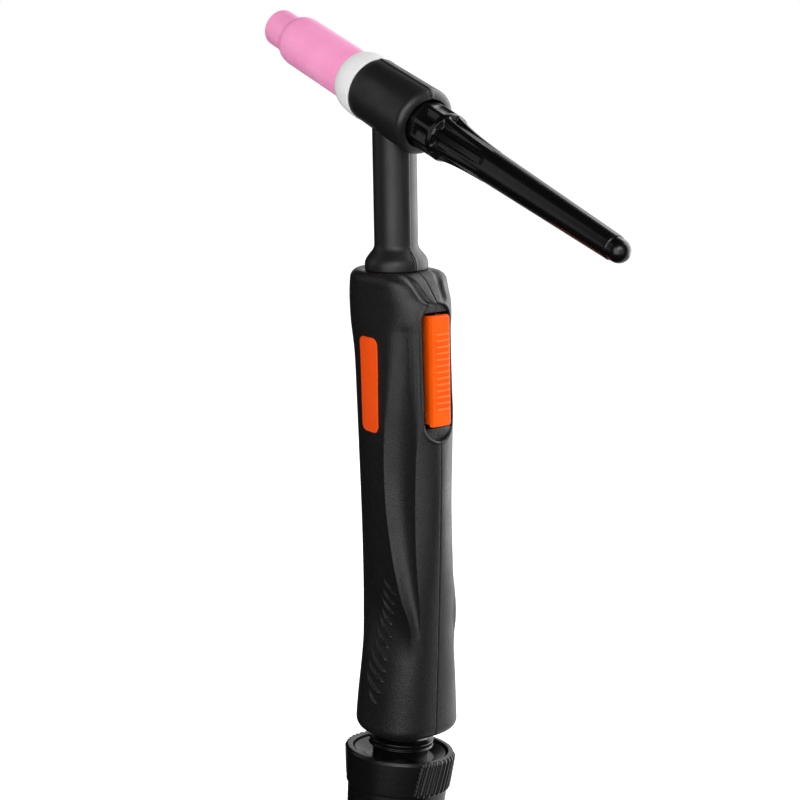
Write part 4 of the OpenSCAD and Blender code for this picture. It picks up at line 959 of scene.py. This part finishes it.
NYLON = moulded("shell_nylon", (0.0045, 0.0045, 0.0047), (0.0081, 0.0081, 0.0086), 0.37,
                grain=2500, depth=0.15, uneven=0.24)
fit(shell(-1), "shell_left", TORCH, ["handle_shell_left"], NYLON, sharp=38)
fit(shell(1), "shell_right", TORCH, ["handle_shell_right"], NYLON, sharp=38)

# ---- Side badge and screws ----
# Plain orange plate let into the left shell and bonded there. Three pan-head steel screws with
# cross recesses enter from the right shell and draw the halves together.
ORANGE = moulded("signal_orange", (0.93, 0.082, 0.0008), (0.99, 0.118, 0.002), 0.42,
                 grain=1400, depth=0.006, uneven=0.08, shine=0.12)


def side_badge():
    bare = plate(5.1, 15.5, corner=2.6, outside=0.3, inside=-0.85, edge=0.3)
    # painted shade: a darker copy of the signal orange stands in for the shade on the left side, where the
    # badge sits
    painted_shade_orange = moulded("badge_orange", (0.80, 0.058, 0.0006), (0.86, 0.084, 0.0013), 0.42,
                    grain=1400, depth=0.006, uneven=0.08, shine=0.12)
    fit(stock(bare), "badge_plate", TORCH, ["side_badge"], painted_shade_orange, sharp=50)


def handle_screws():
    bm = bmesh.new()
    turned(bm, rounded([
        (0, -8, 0), (1.0, -8, 0), (1.4, -7.4, 0), (1.4, 7.2, 0), (2.6, 7.2, 0.15), (2.6, 9.0, 0.9),
        (0, 9.0, 0),
    ]), steps=48, closed=False)
    pan = stock(bm)
    cut(pan, [stock(block((-a, -b, 8.0), (a, b, 10))) for a, b in ((0.35, 1.4), (1.4, 0.35))])
    screws = bmesh.new()
    on_side = Matrix.Rotation(radians(-90), 3, "X")
    for x, z in SCREWS:
        one = bmesh.new()
        one.from_mesh(pan.data)
        bmesh.ops.rotate(one, verts=one.verts, cent=(0, 0, 0), matrix=on_side)
        bmesh.ops.translate(one, verts=one.verts, vec=(x * MM, 0, z * MM))
        spare = bpy.data.meshes.new("spare")
        one.to_mesh(spare)
        one.free()
        screws.from_mesh(spare)
        bpy.data.meshes.remove(spare)
    bpy.data.objects.remove(pan)
    bmesh.ops.scale(screws, vec=(1000, 1000, 1000), verts=screws.verts)
    zinc = machined("zinc_steel", (0.42, 0.42, 0.43), (0.72, 0.72, 0.73), 0.25)
    fit(stock(screws), "pan_screws", TORCH, ["handle_screws"], zinc, sharp=30)


side_badge()
handle_screws()

# ---- Trigger, pin and return spring ----
# Orange moulded lever with thirteen cross ribs, their crests painted lighter as a painted highlight
# of the light they catch. It turns on a steel pin at its foot, its stem presses the switch's plunger,
# and a wire coil spring, which shortens under it, brings it back.


def trigger():
    half_w, low, high, face, under = 3.45, 28.9, 64.5, 23.3, 20.6
    ribs_from, ribs_to, pitch, rib_high, rib_half_w, rib_reach = 33.7, 59.7, 2, 0.62, 0.42, 2.8
    bm = bmesh.new()
    bmesh.ops.create_grid(bm, x_segments=28, y_segments=356, size=0.5)
    for v in bm.verts:
        share = abs(v.co.x) * 2
        y = half_w * (1 - (1 - share) ** 1.5) * (1 if v.co.x > 0 else -1)
        z = (low + high) / 2 + (high - low) * v.co.y
        x = face - rounding(1.1, half_w - abs(y)) - rounding(1.2, min(z - low, high - z))
        if ribs_from < z < ribs_to:
            to_rib = abs((z - ribs_from) % pitch - pitch / 2)
            across = min(1, max(0, (rib_reach - abs(y)) / 0.3))
            x += rib_high * sqrt(max(0, 1 - (to_rib / rib_half_w) ** 2)) * across ** 0.5
        v.co = (x, y, z)
    for v in thickened(bm):
        v.co.x = under
    bmesh.ops.recalc_face_normals(bm, faces=bm.faces)
    ear = rod_y(2.2, *PIN, -2.2, 2.2)
    web = block((17.3, -2.2, 29.8), (20.65, 2.2, 34.2))
    stem = block((12.8, -1.2, 53.1), (20.65, 1.2, 54.9))
    arm = block((11.75, -1.2, 61.4), (20.65, 1.2, 63.2))
    barb = block((11.75, -1.2, 62.3), (12.55, 1.2, 64.5))
    skirts = [block((17.0, a, 29.4), (20.7, b, 64.2)) for a, b in ((-2.9, -2.2), (2.2, 2.9))]
    lever = cut(stock(bm), [stock(part) for part in [ear, web, stem, arm, barb] + skirts], "UNION")
    cut(lever, [stock(rod_y(1.05, *PIN, -7, 7))])
    highlit_orange = ORANGE.copy()
    highlit_orange.name = "trigger_orange"
    nodes, links = highlit_orange.node_tree.nodes, highlit_orange.node_tree.links
    shader = nodes["Principled BSDF"]
    # painted highlight: the rib crests, the highest X of the face, get a lighter orange for the light they
    # catch
    place, apart = placed(nodes, "TexCoord"), placed(nodes, "SeparateXYZ")
    crest = placed(nodes, "MapRange", From_Min=(face + 0.1) * MM, From_Max=(face + 0.6) * MM)
    painted_crest_highlight = placed(nodes, "Mix")
    painted_crest_highlight.data_type = "RGBA"
    painted_crest_highlight.inputs["B"].default_value = (1.0, 0.19, 0.025, 1)
    links.new(place.outputs["Object"], apart.inputs[0])
    links.new(apart.outputs["X"], crest.inputs["Value"])
    links.new(crest.outputs["Result"], painted_crest_highlight.inputs["Factor"])
    links.new(shader.inputs["Base Color"].links[0].from_socket, painted_crest_highlight.inputs["A"])
    links.new(painted_crest_highlight.outputs["Result"], shader.inputs["Base Color"])
    fit(lever, "trigger_lever", "trigger", ["trigger"], highlit_orange, sharp=40)


def return_spring():
    wire_r, coil_r, start, length, turns, steps = 0.3, 1.7, 14.75, 4.8, 4, 144
    bm = bmesh.new()
    ring = bmesh.ops.create_circle(bm, cap_ends=True, segments=14, radius=wire_r)["verts"]
    bmesh.ops.rotate(bm, verts=ring, cent=(0, 0, 0), matrix=Matrix.Rotation(radians(90), 3, "X"))
    bmesh.ops.translate(bm, verts=ring, vec=(coil_r, 0, start))
    bmesh.ops.spin(bm, geom=list(bm.faces), cent=(0, 0, 0), axis=(0, 0, 1), dvec=(0, 0, length / steps),
                   angle=2 * pi * turns, steps=steps, use_merge=False, use_normal_flip=False,
                   use_duplicate=False)
    bmesh.ops.rotate(bm, verts=bm.verts, cent=(0, 0, 0), matrix=Matrix.Rotation(radians(90), 3, "Y"))
    bmesh.ops.translate(bm, verts=bm.verts, vec=(0, 0, 43.0))
    wire = machined("spring_wire", (0.4, 0.4, 0.41), (0.7, 0.7, 0.71), 0.28)
    coil = fit(stock(bm), "return_coil", TORCH, ["trigger_spring"], wire, sharp=40)
    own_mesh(coil)


dress("trigger_pin", machined("pin_steel", (0.42, 0.42, 0.43), (0.74, 0.74, 0.75), 0.2))
trigger()
return_spring()

# ---- Cable swivel ----
# A hollow gloss-black ball turns in a grey bearing ring, with a thin friction band between them.
# Its tube carries a ribbed rubber-like collar with a dished top, held by a steel snap ring.
LEAN = Matrix.Rotation(radians(-6.5), 4, "X") @ Matrix.Rotation(radians(1), 4, "Y")
SWIVEL = Matrix.Translation((0, 0, -0.070)) @ LEAN


def swivel_ball():
    ball_r, bore_r = 11, 6.6
    high, low = degrees(atan2(0.72, sqrt(1 - 0.72 ** 2))), -43
    angles = [high - (high - low) * k / 30 for k in range(31)]
    sphere = [(ball_r * cos(radians(a)), ball_r * sin(radians(a)), 0) for a in angles]
    bm = bmesh.new()
    turned(bm, rounded([(bore_r, 7.92, 0)] + sphere + [
        (8.1, -8.8, 0.4), (8.9, -10.7, 0.6), (10.9, -11.5, 0.3), (10.5, -13.0, 0.2), (10.9, -13.3, 0.15),
        (10.9, -13.75, 0.25), (9.4, -14.3, 0.3), (9.2, -17.6, 0), (8.4, -17.6, 0), (8.4, -41.2, 0),
        (7.8, -41.2, 0), (7.8, -42.2, 0), (bore_r, -42.2, 0),
    ]), steps=128)
    gloss = moulded("ball_gloss", (0.002, 0.002, 0.0022), (0.004, 0.004, 0.0043), 0.24,
                    grain=420, depth=0.001, uneven=0.05, shine=0.4)
    fit(stock(bm, SWIVEL), "ball_joint", "swivel", ["swivel_ball"], gloss, sharp=28)


def swivel_collar():
    ribs_low, ribs_high, root_r = -27.0, -14.9, 16.8
    pitch, rib_high, rib_half_w, sunk = 7.4, 0.7, 0.85, 0.25
    middle, twist, level = 18.6, 0.5, -15.5
    outline = rounded([
        (8.43, -17.65, 0), (11.4, -17.65, 0.8), (15.3, -15.75, 0.15), (15.35, -17.0, 0.12),
        (15.95, -17.0, 0.12), (16.05, -15.0, 0.4), (17.8, -15.0, 0.25), (18.3, -16.0, 0.2),
        (17.35, -27.2, 0.4), (16.77, -27.3, 0.1), (16.17, -39.2, 0.5), (8.43, -39.2, 0),
    ])
    fine = [outline[0]]
    for a, b in zip(outline, outline[1:] + outline[:1]):
        parts = max(1, round((b - a).length / 0.5)) if a.x > 14 and b.x > 14 else 1
        fine += [a.lerp(b, k / parts) for k in range(1, parts + 1)]
    bm = bmesh.new()
    turned(bm, fine[:-1], steps=480)
    for v in bm.verts:
        r, h = hypot(v.co.x, v.co.y), v.co.z
        if r < root_r or not ribs_low < h < ribs_high:
            continue
        turn = (degrees(atan2(v.co.y, v.co.x)) - middle - twist * (h - level) + 90) % 180 - 90
        i = round(turn / pitch)
        if abs(i) > 4:
            continue
        off = radians(turn - pitch * i) * r
        ends = min(1, (h - ribs_low) / 0.6, (r - root_r) / 0.7)
        lift = (rib_high * sqrt(max(0, 1 - (off / rib_half_w) ** 2)) - sunk) * sqrt(max(0, ends))
        v.co.x *= 1 + lift / r
        v.co.y *= 1 + lift / r
    soft = moulded("collar_soft", (0.002, 0.002, 0.0022), (0.004, 0.004, 0.0043), 0.3,
                   grain=1500, depth=0.03, uneven=0.1, shine=0.38)
    fit(stock(bm, SWIVEL), "collar_grip", "swivel", ["swivel_collar"], soft, sharp=40)


liner_acetal = moulded("liner_acetal", (0.24, 0.25, 0.26), (0.34, 0.35, 0.37), 0.35, grain=900, depth=0.006)
dress("swivel_liner", liner_acetal)
dress("swivel_band", moulded("band_rubber", (0.012, 0.012, 0.012), (0.02, 0.02, 0.02), 0.55, grain=1300))
dress("swivel_ring", machined("ring_steel", (0.4, 0.4, 0.41), (0.7, 0.7, 0.71), 0.25, SWIVEL))
swivel_ball()
swivel_collar()
